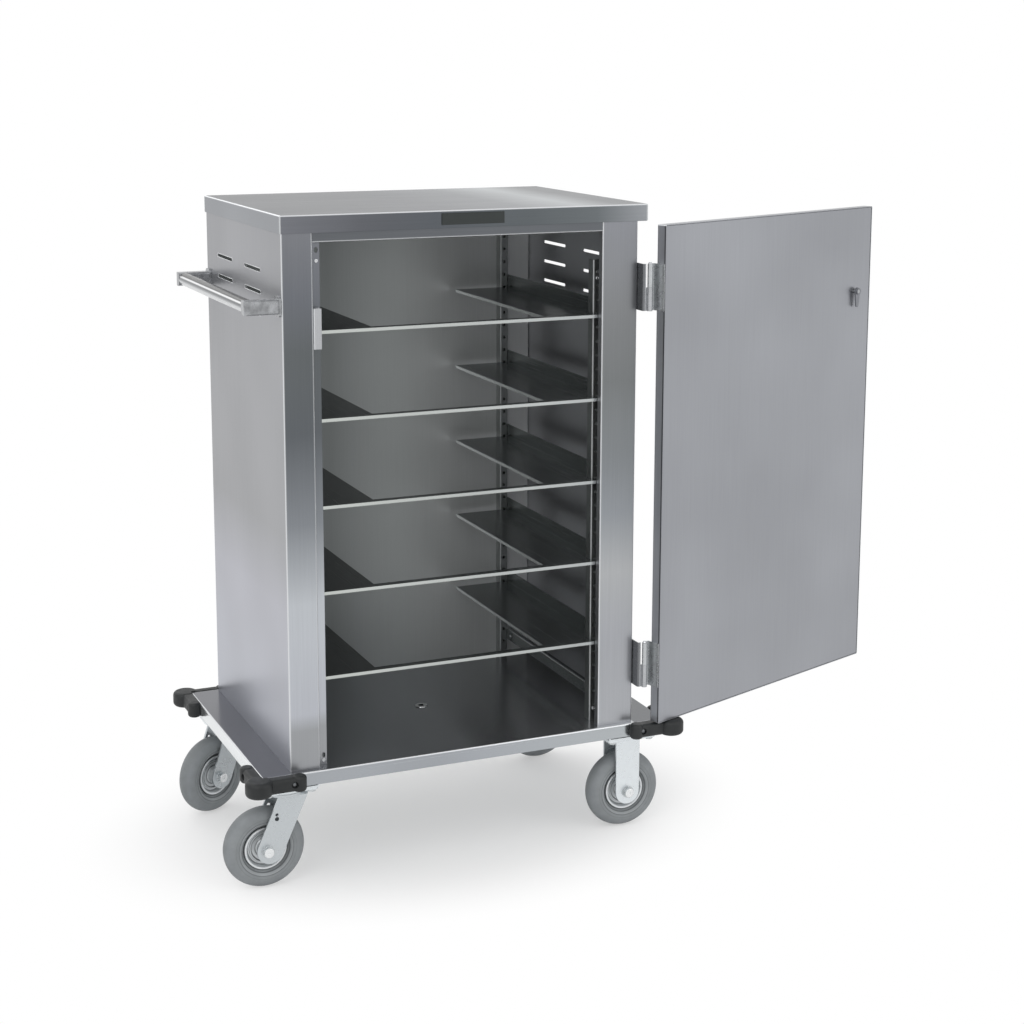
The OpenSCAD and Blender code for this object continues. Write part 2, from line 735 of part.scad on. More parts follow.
// Outline of a fork leg: a straight top from l to r at the web, a round end about the point c
leg_r = 25;
function leg_outline(top, l, r, c) =
  let (a = tangent([r, top], c, leg_r, -1), b = tangent([l, top], c, leg_r, 1))
    concat([[r, top], [l, top]], arc(c, leg_r, b < 0 ? b + 360 : b, a + 360, 12));
// Ends of the legs' tops, from the kingpin, and how far the swivel legs' round ends stand before the axle
swivel_top = [-17, 38];
swivel_lead = 5;
rigid_top = [-leg_r - 0.5, leg_r + 0.5];
// Pressed fork: a folded strip cut to the leg's outline, whose end stands lead before the axle
module fork(web_z, top, tr, lead) {
  mid = (fork_gap + fork_t) / 2;
  web = web_z - fork_t / 2;
  low = -axle_drop - leg_r - cut;
  over = fork_gap + fork_t;
  difference() {
    intersection() {
      translate([-4 * leg_r, 0, 0]) along_x(8 * leg_r)
        folded([[-mid, low], [-mid, web], [mid, web], [mid, low]], fork_t, 1.5 * fork_t);
      translate([0, -over, 0]) along_y(2 * over)
        polygon(leg_outline(web_z, top[0], top[1], [lead - tr, -axle_drop]));
    }
    translate([-tr, over, -axle_drop]) rotate([90, 0, 0]) cylinder(d = axle_d + 2 * run, h = 2 * over);
    // keyhole near the top of a swivel fork's legs
    if (tr > 0) for (hole = keyhole)
      translate([-tr * 0.56, over, -axle_drop * 0.43 - hole[1]]) rotate([90, 0, 0])
        cylinder(d = hole[0], h = 2 * over, $fn = 24);
  }
}
// The keyhole's two bores: diameter, and drop from the upper one
keyhole = [[6, 0], [8, 8]];
module swivel_fork(row) {
  color("gainsboro") on_swivel(row) difference() {
    union() {
      fork(-race_drop, swivel_top, trail, swivel_lead);
      // round crown with the lower race on it
      translate([0, 0, -race_drop]) rotate_extrude()
        polygon([[kingpin_d, -fork_t - 0.5], [race_r - 2, -fork_t - 0.5], [race_r - 2, 1],
          [race_r - 6.5, 1.2], [race_r - 6.5, 6], [race_r - 12, 6], [race_r - 12, 0.6], [kingpin_d, 0.6]]);
    }
    translate([0, 0, -race_drop - fork_t]) bored(kingpin_d + 2 * run, fork_t);
  }
}
module rigid_fork(row) {
  color("gainsboro") on_mount(1, row) difference() {
    union() {
      top_plate();
      fork(-plate_t, rigid_top, 0, 0);
    }
    plate_holes() translate([0, 0, -plate_t]) bored(bolt_d + bolt_play, plate_t);
  }
}
// Axle bolt along Y through the fork: hexagon head, washers, shank and nut
washer_t = 1.6;
axle_head = 7.6;
axle_nut = 8.6;
module axle_bolt(tr) {
  r = axle_d / 2;
  half = fork_gap / 2 + fork_t;
  out = half + washer_t;
  end = out + 9.4;
  translate([-tr, 0, -axle_drop]) rotate([90, 0, 0]) {
    rotate_extrude() polygon([[0, -end], [r - 1, -end], [r, 1 - end], [r, -out], [2 * r, -out],
      [2 * r, -half], [r, -half], [r, half], [2 * r, half], [2 * r, out], [0, out]]);
    translate([0, 0, half + 1]) hexagon(axle_d * 1.55, axle_head);
    translate([0, 0, -half - 1 - axle_nut]) hexagon(axle_d * 1.55, axle_nut);
  }
}
module swivel_axle(row) { color("gainsboro") on_swivel(row) axle_bolt(trail); }
module rigid_axles() { color("gainsboro") for (row = [0, 1]) on_mount(1, row) axle_bolt(0); }
bolt_head = 5;
bolt_nut = 6.5;
module caster_bolts() {
  color("gainsboro") for (side = [0, 1], row = [0, 1]) on_mount(side, row) plate_holes() {
    translate([0, 0, -plate_t - bolt_head]) hexagon(bolt_d * 1.6, bolt_head);
    translate([0, 0, -plate_t - 1]) cylinder(d = bolt_d, h = 1 + plate_t + channel_t + bolt_nut + 2.5);
    translate([0, 0, channel_t]) hexagon(bolt_d * 1.6, bolt_nut);
  }
}

// ---------- wheels ----------

rim_r = 40.5;
// Balloon tyre: an ellipse cut off at the rim, with a raised ring about the rim on each side
tyre_end = 152;
ring_from = 110;
ring_to = 130;
ring_up = 1.2;
module tyre() {
  mid = (rim_r + near - wheel_r * cos(tyre_end)) / (1 - cos(tyre_end));
  rotate([90, 0, 0]) rotate_extrude($fn = 96)
    polygon([for (a = [-tyre_end:8:tyre_end])
      let (up = abs(a) > ring_from && abs(a) < ring_to ? ring_up : 0)
        [mid + (wheel_r - mid) * cos(a), (tyre_w / 2 + up) * sin(a)]]);
}
module hub() {
  w = fork_gap / 2 - near - 0.1;
  half = [[axle_d / 2 + run, w], [13, w], [15, w - 2], [16, 9], [20, 6], [25, 6], [26, 9], [29, 9], [30, 6],
    [rim_r - 7, 6], [rim_r - 5.5, 13], [rim_r - 4, 14.5], [rim_r - 1, 14.5], [rim_r, 13], [rim_r, 8]];
  rotate([90, 0, 0]) rotate_extrude($fn = 96)
    polygon(concat(half, backwards([for (p = half) [p.x, -p.y]])));
}
module on_wheel(side, row) {
  if (side == 0) on_swivel(row) translate([-trail, 0, -axle_drop]) children();
  else on_mount(1, row) translate([0, 0, -axle_drop]) children();
}
module wheel_hub(side, row) { color("lightsteelblue") on_wheel(side, row) hub(); }
module wheel_tyre(side, row) { color("dimgray") on_wheel(side, row) tyre(); }

// ---------- screws ----------

module handle_screws() {
  for (y = [grip_inset, body_d - grip_inset], k = [-flange_screw, flange_screw])
    translate([sheet_t, y, grip_z + k]) rotate([0, 90, 0]) children();
}
module body_screws() {
  color("gainsboro") on_deck() {
    handle_screws() screw();
    hinge_screws() screw();
    bumper_screws() screw(bumper_shank);
  }
}

chassis_deck();
caster_channel(0);  // caster_channel_left
caster_channel(1);  // caster_channel_right
left_side_panel();
right_side_panel();
back_panel();
top_cap();
header_rail();
front_post_left();
front_post_right();
rear_post_left();
rear_post_right();
tray_shelf(1);  // tray_shelf_1
tray_shelf(2);  // tray_shelf_2
tray_shelf(3);  // tray_shelf_3
tray_shelf(4);  // tray_shelf_4
tray_shelf(5);  // tray_shelf_5
low_guide_left();
low_guide_right();
floor_drain();
latch_keeper();
handle_tube();
handle_bracket_front();
handle_bracket_rear();
corner_bumper(0, 0);  // bumper_front_left
corner_bumper(1, 0);  // bumper_front_right
corner_bumper(0, 1);  // bumper_rear_left
corner_bumper(1, 1);  // bumper_rear_right
frame_leaf(hinge_high);  // frame_leaf_upper
frame_leaf(hinge_low);  // frame_leaf_lower
hinge_pins();
swivel_plate(0);  // top_plate_front
swivel_plate(1);  // top_plate_rear
rigid_fork(0);  // rigid_fork_front
rigid_fork(1);  // rigid_fork_rear
rigid_axles();
caster_bolts();
body_screws();
door_pan();
door_inner_panel();
door_leaf(hinge_high);  // door_leaf_upper
door_leaf(hinge_low);  // door_leaf_lower
latch_escutcheon();
door_screws();
latch_lever();
latch_pawl();
swivel_fork(0);  // swivel_fork_front
swivel_fork(1);  // swivel_fork_rear
swivel_axle(0);  // swivel_axle_front
swivel_axle(1);  // swivel_axle_rear
wheel_hub(0, 0);  // hub_front_left
wheel_hub(0, 1);  // hub_rear_left
wheel_hub(1, 0);  // hub_front_right
wheel_hub(1, 1);  // hub_rear_right
wheel_tyre(0, 0);  // tyre_front_left
wheel_tyre(0, 1);  // tyre_rear_left
wheel_tyre(1, 0);  // tyre_front_right
wheel_tyre(1, 1);  // tyre_rear_right
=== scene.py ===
"""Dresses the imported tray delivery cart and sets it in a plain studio.

The cart is a stainless cabinet on a castered deck. Its sheets, tubes and
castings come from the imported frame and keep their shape; this script gives
each one its finish and adds the small parts that only a close look shows.
Finishes, their stops and the sub-assemblies hold millimetres; the bench, the
studio and the camera work in metres.
"""

import json
import logging
import math
from dataclasses import dataclass, replace
from enum import Enum
from typing import Any, Callable, Iterable, Optional

import bpy
from mathutils import Euler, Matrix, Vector

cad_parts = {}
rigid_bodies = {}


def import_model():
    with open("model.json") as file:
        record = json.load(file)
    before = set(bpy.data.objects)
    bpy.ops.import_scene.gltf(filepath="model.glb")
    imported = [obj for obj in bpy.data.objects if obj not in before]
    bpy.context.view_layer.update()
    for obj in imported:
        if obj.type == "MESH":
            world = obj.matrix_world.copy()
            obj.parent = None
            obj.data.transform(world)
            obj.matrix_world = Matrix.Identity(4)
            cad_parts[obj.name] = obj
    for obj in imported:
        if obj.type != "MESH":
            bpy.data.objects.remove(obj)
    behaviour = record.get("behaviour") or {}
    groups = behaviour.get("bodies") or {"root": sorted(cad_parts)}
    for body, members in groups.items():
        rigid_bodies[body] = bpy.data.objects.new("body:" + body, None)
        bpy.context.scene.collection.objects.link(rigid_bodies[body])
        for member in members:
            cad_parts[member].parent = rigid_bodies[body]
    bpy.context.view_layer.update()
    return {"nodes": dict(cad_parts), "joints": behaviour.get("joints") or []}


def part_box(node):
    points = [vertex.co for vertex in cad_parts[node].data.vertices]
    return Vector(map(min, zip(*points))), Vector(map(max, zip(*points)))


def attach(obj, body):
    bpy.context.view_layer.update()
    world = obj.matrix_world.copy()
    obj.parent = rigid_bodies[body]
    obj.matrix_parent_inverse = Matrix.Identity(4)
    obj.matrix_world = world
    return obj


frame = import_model()

log = logging.getLogger("tray_cart")

Vec = tuple[float, float, float]
Pair = tuple[float, float]
Stops = tuple[tuple[float, str], ...]
Rows = tuple[tuple[str, float], ...]
Tree, Node, Socket = bpy.types.NodeTree, bpy.types.Node, bpy.types.NodeSocket
Piece = bpy.types.Object

MM = 0.001
WHITE = (1, 1, 1, 1)
UP = (0.0, 0.0, 1.0)

# Spans of a socket's value, from where an effect begins to where it is full.
NOISE_SPAN = (0.3, 0.7)  # most of a noise texture's values lie in here
RUBBED_SPAN = (0.4, 0.7)  # the same, with fewer places touched
FACING_SPAN = (0.6, 0.8)  # a surface that looks along a way
# where the folds get their painted highlight
FOLD_HIGHLIGHT_SPAN = (0.995, 0.93)  # a surface that looks along none of three ways

BEVEL_SAMPLES = 4  # rays of a material's rounded edge
LOOKS_ALONG = 0.9  # a face looks along a way when its normal has this much of it
SMOOTH_DEGREES = 35  # shallower edges of a finished piece are shaded smooth
SAME_LEVEL = 1e-6  # corners closer than this, in metres, are on one ring


# ---- Colour and node helpers ----

def linear(hex_code: str) -> tuple[float, float, float, float]:
    """Turns an sRGB hex colour to the linear values that a shader takes.

    Args:
        hex_code: A hash and six hex digits.

    Returns:
        Red, green, blue and a full alpha.
    """
    parts = [int(hex_code[i:i + 2], 16) / 255 for i in (1, 3, 5)]
    # the curve of the sRGB standard
    red, green, blue = [c / 12.92 if c <= 0.04045 else ((c + 0.055) / 1.055) ** 2.4
                        for c in parts]
    return red, green, blue, 1.0


def clear_tree(owner: Any) -> Tree:
    """Turns a material's or world's nodes on and gives their tree, emptied."""
    owner.use_nodes = True
    owner.node_tree.nodes.clear()
    return owner.node_tree


def add_node(tree: Tree, kind: str, settings: Optional[dict[Any, Any]] = None,
             links: Optional[dict[Any, Any]] = None) -> Node:
    """Adds one node with its settings and links.

    Args:
        tree: The node tree that takes the node.
        kind: The node's type, without the leading ShaderNode.
        settings: Attribute or input names with their values.
        links: Input names or numbers with the output socket that feeds each.

    Returns:
        The new node.
    """
    node = tree.nodes.new("ShaderNode" + kind)
    for key, value in (settings or {}).items():
        if isinstance(key, int) or key in node.inputs:
            node.inputs[key].default_value = value
        else:
            setattr(node, key, value)
    for key, socket in (links or {}).items():
        tree.links.new(socket, node.inputs[key])
    return node


def add_colour(tree: Tree, hex_code: str) -> Socket:
    """Adds a plain colour and gives its socket."""
    plain = add_node(tree, "RGB")
    plain.outputs[0].default_value = linear(hex_code)
    return plain.outputs[0]


def coords(tree: Tree, kind: str) -> Socket:
    """Gives the socket of a surface point's place, Object, or of the way it faces, Normal."""
    return add_node(tree, "TexCoord").outputs[kind]


def add_noise(tree: Tree, size: float, settings: dict[str, float]) -> Socket:
    """Adds noise that stands still in the frame.

    Args:
        tree: The material's tree.
        size: How wide its patches are, in millimetres.
        settings: The noise's other inputs.

    Returns:
        The noise's socket.
    """
    return add_node(tree, "TexNoise", {"Scale": 1 / (size * MM), **settings},
                    {"Vector": coords(tree, "Object")}).outputs["Fac"]


def remap(tree: Tree, value: Socket, source: Pair = (0.0, 1.0),
          target: Pair = (0.0, 1.0)) -> Socket:
    """Maps a number from one span to another and holds it there.

    Args:
        tree: The node tree.
        value: The number's socket.
        source: The span that it comes in.
        target: The span that it leaves in.

    Returns:
        The mapped number's socket.
    """
    spans = {"From Min": source[0], "From Max": source[1],
             "To Min": target[0], "To Max": target[1]}
    return add_node(tree, "MapRange", spans, {"Value": value}).outputs["Result"]


def join(tree: Tree, operation: str, first: Socket, second: Socket) -> Socket:
    """Joins two numbers by a Math node's operation and gives the result's socket."""
    return add_node(tree, "Math", {"operation": operation}, {0: first, 1: second}).outputs[0]


def along(tree: Tree, vector: Socket, way: Vec) -> Socket:
    """Gives the socket of how far a vector reaches along a way."""
    return add_node(tree, "VectorMath", {"operation": "DOT_PRODUCT", 1: way},
                    {0: vector}).outputs["Value"]


def scaled(tree: Tree, colour: Socket, level: Socket) -> Socket:
    """Gives the socket of a colour times a number."""
    return add_node(tree, "VectorMath", {"operation": "SCALE"},
                    {0: colour, "Scale": level}).outputs[0]


def blend(tree: Tree, share: Socket, first: Socket, second: Socket) -> Socket:
    """Gives the socket of a mix of two colours, which at a share of 1 is the second."""
    return add_node(tree, "Mix", {"data_type": "RGBA"},
                    {0: share, 6: first, 7: second}).outputs[2]


def tone_ramp(tree: Tree, stops: Stops, value: Socket, unit: float = MM) -> Socket:
    """Adds the nodes that turn a number to a colour through stops.

    Args:
        tree: The material's tree.
        stops: Places with their hex colours, from low to high.
        value: The socket with the number.
        unit: What one of the stops' units is in the socket's.

    Returns:
        The colour socket.
    """
    low, high = stops[0][0], stops[-1][0]
    share = remap(tree, value, (low * unit, high * unit))
    ramp = add_node(tree, "ValToRGB", links={"Fac": share})
    steps = ramp.color_ramp.elements
    steps[0].color, steps[1].color = linear(stops[0][1]), linear(stops[-1][1])
    for at, tone in stops[1:-1]:
        steps.new((at - low) / (high - low)).color = linear(tone)
    return ramp.outputs["Color"]


def seen_rays(tree: Tree) -> Socket:
    """Adds which rays show a surface itself and don't only light the cart.

    Args:
        tree: The node tree.

    Returns:
        A socket that is 1 for camera, mirrored and see-through rays.
    """
    path = add_node(tree, "LightPath").outputs
    first = join(tree, "MAXIMUM", path["Is Camera Ray"], path["Is Glossy Ray"])
    return join(tree, "MAXIMUM", first, path["Is Transmission Ray"])


# ---- Tones ----

class Grain(Enum):
    """Which way a brushed sheet's grain runs, or a tone drifts."""

    ALONG_X = (1.0, 0.0, 0.0)
    ALONG_Y = (0.0, 1.0, 0.0)
    ALONG_Z = UP


@dataclass(frozen=True)
class Drift:
    """A tone that drifts along one way, by place: painted sheen, reflection, highlight or shade.
    """

    way: Grain
    stops: Stops

    def build(self, tree: Tree) -> Socket:
        """Gives the tone's colour socket."""
        place = coords(tree, "Object")
        return tone_ramp(tree, self.stops, along(tree, place, self.way.value))


@dataclass(frozen=True)
class Bands:
    """Painted reflection by which way a surface faces: from -1, against the way, to 1, along it.
    """

    way: Vec
    stops: Stops

    def build(self, tree: Tree) -> Socket:
        """Gives the tone's colour socket."""
        facing = coords(tree, "Normal")
        return tone_ramp(tree, self.stops, along(tree, facing, self.way), 1.0)


@dataclass(frozen=True)
class Rings:
    """Rings of tone about an axis: lathe marks and painted shade and light; middle in metres."""

    middle: Vec
    axis: Vec
    stops: Stops

    def build(self, tree: Tree) -> Socket:
        """Adds the distance from the axis and the tone that it gives.

        Args:
            tree: The material's tree.
    
        Returns:
            The tone's colour socket.
        """
        out = add_node(tree, "VectorMath", {"operation": "SUBTRACT", 1: self.middle},
                       {0: coords(tree, "Object")})
        across = add_node(tree, "VectorMath", {"operation": "CROSS_PRODUCT", 1: self.axis},
                          {0: out.outputs[0]})
        radius = add_node(tree, "VectorMath", {"operation": "LENGTH"}, {0: across.outputs[0]})
        return tone_ramp(tree, self.stops, radius.outputs["Value"])


Tone = Drift | Bands | Rings


# ---- Finishes ----

@dataclass(frozen=True)
class Finish:
    """What every finish has: its colour or tone, its gloss and its rounded edges."""

    name: str
    colour: str
    roughness: float
    tone: Optional[Tone] = None
    metallic: float = 0.0
    edge_mm: float = 1.0
    relief_mm: float = 0.2
    smoother: float = 0.06
    rougher: float = 0.08

    def base(self, tree: Tree) -> Socket:
        """Gives the socket of the tone, or of the plain colour where there is none."""
        return self.tone.build(tree) if self.tone else add_colour(tree, self.colour)

    def start(self) -> tuple[bpy.types.Material, Tree, Node]:
        """Makes an empty material with its shader.

        Returns:
            The material, its tree and its shader.
        """
        material = bpy.data.materials.new(self.name)
        tree = clear_tree(material)
        shader = add_node(tree, "BsdfPrincipled", {
            "Roughness": self.roughness, "Base Color": linear(self.colour),
            "Metallic": self.metallic})
        add_node(tree, "OutputMaterial", links={"Surface": shader.outputs["BSDF"]})
        return material, tree, shader

    def close(self, shader: Node, tone: Socket, gloss: Socket, relief: Socket,
              strength: float) -> None:
        """Links the finish's colour, gloss, rounded edges and relief to its shader.

        Args:
            shader: The shader.
            tone: The colour's socket.
            gloss: The roughness's socket.
            relief: The socket of the relief's height.
            strength: How strongly the relief shows.
        """
        tree = shader.id_data
        edge = add_node(tree, "Bevel", {"samples": BEVEL_SAMPLES, "Radius": self.edge_mm * MM})
        bump = add_node(tree, "Bump", {"Strength": strength, "Distance": self.relief_mm * MM},
                        {"Height": relief, "Normal": edge.outputs["Normal"]})
        tree.links.new(tone, shader.inputs["Base Color"])
        tree.links.new(gloss, shader.inputs["Roughness"])
        tree.links.new(bump.outputs["Normal"], shader.inputs["Normal"])


@dataclass(frozen=True)
class BrushedStainless(Finish):
    """Sheet of 304 stainless, belt-polished to a long fine grain.

    The eye sees faint parallel streaks, soft broad clouds of tone that change
    across a panel, and folds with a painted highlight, bright where the
    surface faces along none of the sheet's three ways. Each way that a face
    can look, front, up, to the left side or to the inner right, can have a
    drift of its own, which paints sheen, reflection or shade onto that face.
    A sheet that stands turned about the upright gives its angle in degrees,
    so that these ways turn with it.
    """

    grain: Grain = Grain.ALONG_Z
    streak_mm: float = 1.6
    length_mm: float = 150.0
    cloud_mm: float = 260.0
    cloud_sway: Pair = (0.93, 1.06)
    depth: float = 0.10
    relief_share: float = 1.2
    metallic: float = 0.9
    edge_mm: float = 0.9
    # painted sheen, reflection and shade for faces that look front, up, to the left side and the
    # inner right
    front: Optional[Drift] = None
    upper: Optional[Drift] = None
    side: Optional[Drift] = None
    inner: Optional[Drift] = None
    # the folds' painted highlight: its colour and how much of it shows
    fold_highlight: str = "#E4E6E8"
    fold_highlight_share: float = 0.85
    turned: float = 0.0

    def build(self) -> bpy.types.Material:
        """Makes the material.

        Returns:
            The finished material.
        """
        material, tree, shader = self.start()
        streaks = self.add_streaks(tree)
        tone = self.add_tone(tree, streaks)
        half = self.depth / 2
        gloss = remap(tree, streaks, NOISE_SPAN, (self.roughness - half, self.roughness + half))
        self.close(shader, tone, gloss, streaks, self.relief_share * self.depth)
        return material

    def add_streaks(self, tree: Tree) -> Socket:
        """Adds the belt's streaks: noise stretched along the grain.

        Args:
            tree: The material's tree.
    
        Returns:
            The streaks' socket.
        """
        scale = [1 / ((self.length_mm if with_grain else self.streak_mm) * MM)
                 for with_grain in self.grain.value]
        stretched = add_node(tree, "Mapping", {"Scale": scale},
                             {"Vector": coords(tree, "Object")})
        return add_node(tree, "TexNoise", {"Scale": 1.0, "Detail": 3.0, "Roughness": 0.6},
                        {"Vector": stretched.outputs["Vector"]}).outputs["Fac"]

    def add_tone(self, tree: Tree, streaks: Socket) -> Socket:
        """Adds the sheet's colour: painted face light, streaks, clouds, painted fold highlights.

        Args:
            tree: The material's tree.
                streaks: The streaks' socket.

        Returns:
            The colour socket.
        """
        facing = add_node(tree, "VectorRotate", {
            "rotation_type": "Z_AXIS", "Angle": -math.radians(self.turned)},
            {"Vector": coords(tree, "Normal")}).outputs[0]
        clouds = add_noise(tree, self.cloud_mm, {"Detail": 1.5, "Roughness": 0.4})
        sway = remap(tree, clouds, NOISE_SPAN, self.cloud_sway)
        fine = remap(tree, streaks, target=(1 - self.depth, 1 + self.depth))
        tone = scaled(tree, self.add_faces(tree, facing), join(tree, "MULTIPLY", sway, fine))
        return blend(tree, self.add_fold_highlights(tree, facing), tone, add_colour(tree, self.fold_highlight))

    def add_faces(self, tree: Tree, facing: Socket) -> Socket:
        """Adds each way's drift of painted light, over the sheet's plain colour.

        Args:
            tree: The material's tree.
                facing: The socket of the way that the surface faces.

        Returns:
            The colour socket.
        """
        colour = self.base(tree)
        axes = add_node(tree, "SeparateXYZ", links={0: facing})
        for drift, axis, sign in ((self.front, "Y", -1), (self.upper, "Z", 1),
                                  (self.side, "X", -1), (self.inner, "X", 1)):
            if drift:
                span = (sign * FACING_SPAN[0], sign * FACING_SPAN[1])
                mask = remap(tree, axes.outputs[axis], span)
                colour = blend(tree, mask, colour, drift.build(tree))
        return colour

    def add_fold_highlights(self, tree: Tree, facing: Socket) -> Socket:
        """Finds the folds for the painted highlight: faces along none of the three ways.

        Args:
            tree: The material's tree.
            facing: The socket of the way that the surface faces.

        Returns:
            The socket of how strong the fold's painted highlight is.
        """
        flat = add_node(tree, "VectorMath", {"operation": "ABSOLUTE"}, {0: facing})
        ways = add_node(tree, "SeparateXYZ", links={0: flat.outputs[0]}).outputs
        first = join(tree, "MAXIMUM", ways["X"], ways["Y"])
        most = join(tree, "MAXIMUM", first, ways["Z"])
        return remap(tree, most, FOLD_HIGHLIGHT_SPAN, (0.0, self.fold_highlight_share))


@dataclass(frozen=True)
class PlatedSteel(Finish):
    """Small metal parts: zinc-plated steel, and polished or cast stainless.

    The eye sees a pale, slightly blue metal with small soft cloudy patches
    left by the press and the bath, or by the mould on a casting.
    """

    patch_mm: float = 9.0
    mottle: float = 0.12
    metallic: float = 0.85
    edge_mm: float = 0.8
    relief: float = 0.15

    def build(self) -> bpy.types.Material:
        """Makes the material.

        Returns:
            The finished material.
        """
        material, tree, shader = self.start()
        patches = add_noise(tree, self.patch_mm, {"Detail": 4.0, "Roughness": 0.55})
        sway = remap(tree, patches, NOISE_SPAN, (1 - self.mottle, 1.0))
        gloss = remap(tree, patches, NOISE_SPAN,
                      (self.roughness - self.smoother, self.roughness + self.rougher))
        tone = scaled(tree, self.base(tree), sway)
        self.close(shader, tone, gloss, patches, self.relief)
        return material


@dataclass(frozen=True)
class MouldedRubber(Finish):
    """Moulded rubber or plastic with a fine matt skin.

    The eye sees an even colour with a pebbled sheen and slightly paler,
    rubbed places.
    """

    grit_mm: float = 1.4
    rub_mm: float = 30.0
    rub: float = 0.25
    edge_mm: float = 1.2
    relief_mm: float = 0.3
    relief: float = 0.25

    def build(self) -> bpy.types.Material:
        """Makes the material.

        Returns:
            The finished material.
        """
        material, tree, shader = self.start()
        grit = add_noise(tree, self.grit_mm, {"Detail": 2.0})
        worn = add_noise(tree, self.rub_mm, {"Detail": 3.0, "Roughness": 0.6})
        rubbed = remap(tree, worn, RUBBED_SPAN)
        lift = remap(tree, rubbed, target=(1.0, 1 + self.rub))
        gloss = remap(tree, rubbed, target=(self.roughness + self.rougher,
                                            self.roughness - self.smoother))
        tone = scaled(tree, self.base(tree), lift)
        self.close(shader, tone, gloss, grit, self.relief)
        return material


def dress(nodes: Iterable[str], material: bpy.types.Material) -> None:
    """Gives CAD nodes a finish.

    Args:
        nodes: Their names.
        material: The finish.
    """
    for name in nodes:
        part = frame["nodes"][name]
        if not part.material_slots:
            part.data.materials.append(material)
        for place in part.material_slots:
            place.material = material
        log.info("%s takes %s", name, material.name)


# ---- Bench: modelling by operators ----

def looks_up(face: bpy.types.MeshPolygon) -> bool:
    """Says whether a face looks up."""
    return face.normal.z > LOOKS_ALONG


class Bench:
    """Holds a new piece's name and the operators that shape it."""

    def __init__(self, name: str) -> None:
        """Keeps the name that the new object gets and clears the selection."""
        self.name = name
        self.clear()

    @staticmethod
    def clear() -> None:
        """Leaves edit mode and deselects every object."""
        if bpy.context.object and bpy.context.object.mode != "OBJECT":
            bpy.ops.object.mode_set(mode="OBJECT")
        bpy.ops.object.select_all(action="DESELECT")

    def hold(self, made: Piece) -> None:
        """Makes a piece the only selected one, and active."""
        self.clear()
        made.select_set(True)
        bpy.context.view_layer.objects.active = made

    def take(self) -> Piece:
        """Names the primitive that was just added and applies its place and size."""
        made = bpy.context.object
        made.name = made.data.name = self.name
        bpy.ops.object.transform_apply(location=True, rotation=True, scale=True)
        return made

    def block(self, centre: Vec, size: Vec) -> Piece:
        """Adds a block.

        Args:
            centre: Its middle.
            size: Its whole size.

        Returns:
            The new object, active and selected.
        """
        bpy.ops.mesh.primitive_cube_add(size=1, location=centre)
        bpy.context.object.scale = size
        return self.take()

    def rod(self, radius: float, length: float, sides: int) -> Piece:
        """Adds a rod that stands on the origin, its far end up.

        Args:
            radius: Its radius.
            length: Its length.
            sides: How many sides it has.

        Returns:
            The new object, active and selected.
        """
        bpy.ops.mesh.primitive_cylinder_add(vertices=sides, radius=radius, depth=length,
                                            location=(0, 0, length / 2))
        return self.take()

    def point(self, made: Piece, place: Vec, way: Vec) -> None:
        """Puts a piece that was modelled on the origin at its place, its up turned to a way.

        Args:
            made: The object.
            place: Where its origin goes.
            way: Where its up points.
        """
        made.location = place
        made.rotation_euler = Vector(way).to_track_quat("Z", "Y").to_euler()

    def copy(self, made: Piece, name: str) -> Piece:
        """Copies a piece with its own mesh.

        Args:
            made: The object.
            name: The copy's name.

        Returns:
            The copy.
        """
        self.hold(made)
        bpy.ops.object.duplicate(linked=False)
        twin = bpy.context.object
        twin.name = twin.data.name = name
        return twin

    def discard(self, made: Piece) -> None:
        """Deletes a piece that has served as the first of its copies."""
        self.hold(made)
        bpy.ops.object.delete()

    def pick(self, made: Piece, kind: str, wanted: Callable[[Any], bool]) -> None:
        """Enters edit mode with only the wanted faces or corners selected.

        Args:
            made: The object.
            kind: FACE or VERT.
            wanted: Says of a face or a corner whether it is wanted.
        """
        bpy.ops.object.mode_set(mode="EDIT")
        bpy.ops.mesh.select_mode(type=kind)
        bpy.ops.mesh.select_all(action="DESELECT")
        bpy.ops.object.mode_set(mode="OBJECT")
        for item in made.data.polygons if kind == "FACE" else made.data.vertices:
            item.select = wanted(item)
        bpy.ops.object.mode_set(mode="EDIT")

    def step_in(self, steps: Iterable[Pair]) -> None:
        """Insets the picked faces step by step and leaves edit mode.

        Args:
            steps: How far each step goes in and how far out, in millimetres.
        """
        for thickness, depth in steps:
            bpy.ops.mesh.inset(thickness=thickness * MM, depth=depth * MM)
        bpy.ops.object.mode_set(mode="OBJECT")

    def ripple(self, made: Piece, radius: float, rings: int, depth: float) -> None:
        """Cuts a standing rod into rings and swells every other one, as a weld's runs lie.

        Args:
            made: The object.
            radius: The rod's radius.
            rings: How many cuts it gets.
            depth: How much a swollen ring stands out.
        """
        top = max(v.co.z for v in made.data.vertices)
        levels = [top * n / (rings + 1) for n in range(1, rings + 1)]
        bpy.ops.object.mode_set(mode="EDIT")
        for level in levels:
            bpy.ops.mesh.select_all(action="SELECT")
            bpy.ops.mesh.bisect(plane_co=(0, 0, level), plane_no=(0, 0, 1))
        bpy.ops.object.mode_set(mode="OBJECT")
        swell = 1 + depth / radius
        for level in levels[::2]:
            self.pick(made, "VERT", lambda corner: abs(corner.co.z - level) < SAME_LEVEL)
            bpy.ops.transform.resize(value=(swell, swell, 1), center_override=(0, 0, level))
            bpy.ops.object.mode_set(mode="OBJECT")

    def bevel(self, made: Piece, width: float, angle: float) -> None:
        """Rounds the piece's sharp edges in two steps.

        Args:
            made: The object.
            width: The bevel's width.
            angle: Edges sharper than this, in degrees, are rounded.
        """
        soft = made.modifiers.new("soft_edges", "BEVEL")
        soft.width, soft.segments = width, 2
        soft.limit_method, soft.angle_limit = "ANGLE", math.radians(angle)
        bpy.context.view_layer.objects.active = made
        bpy.ops.object.modifier_apply(modifier=soft.name)

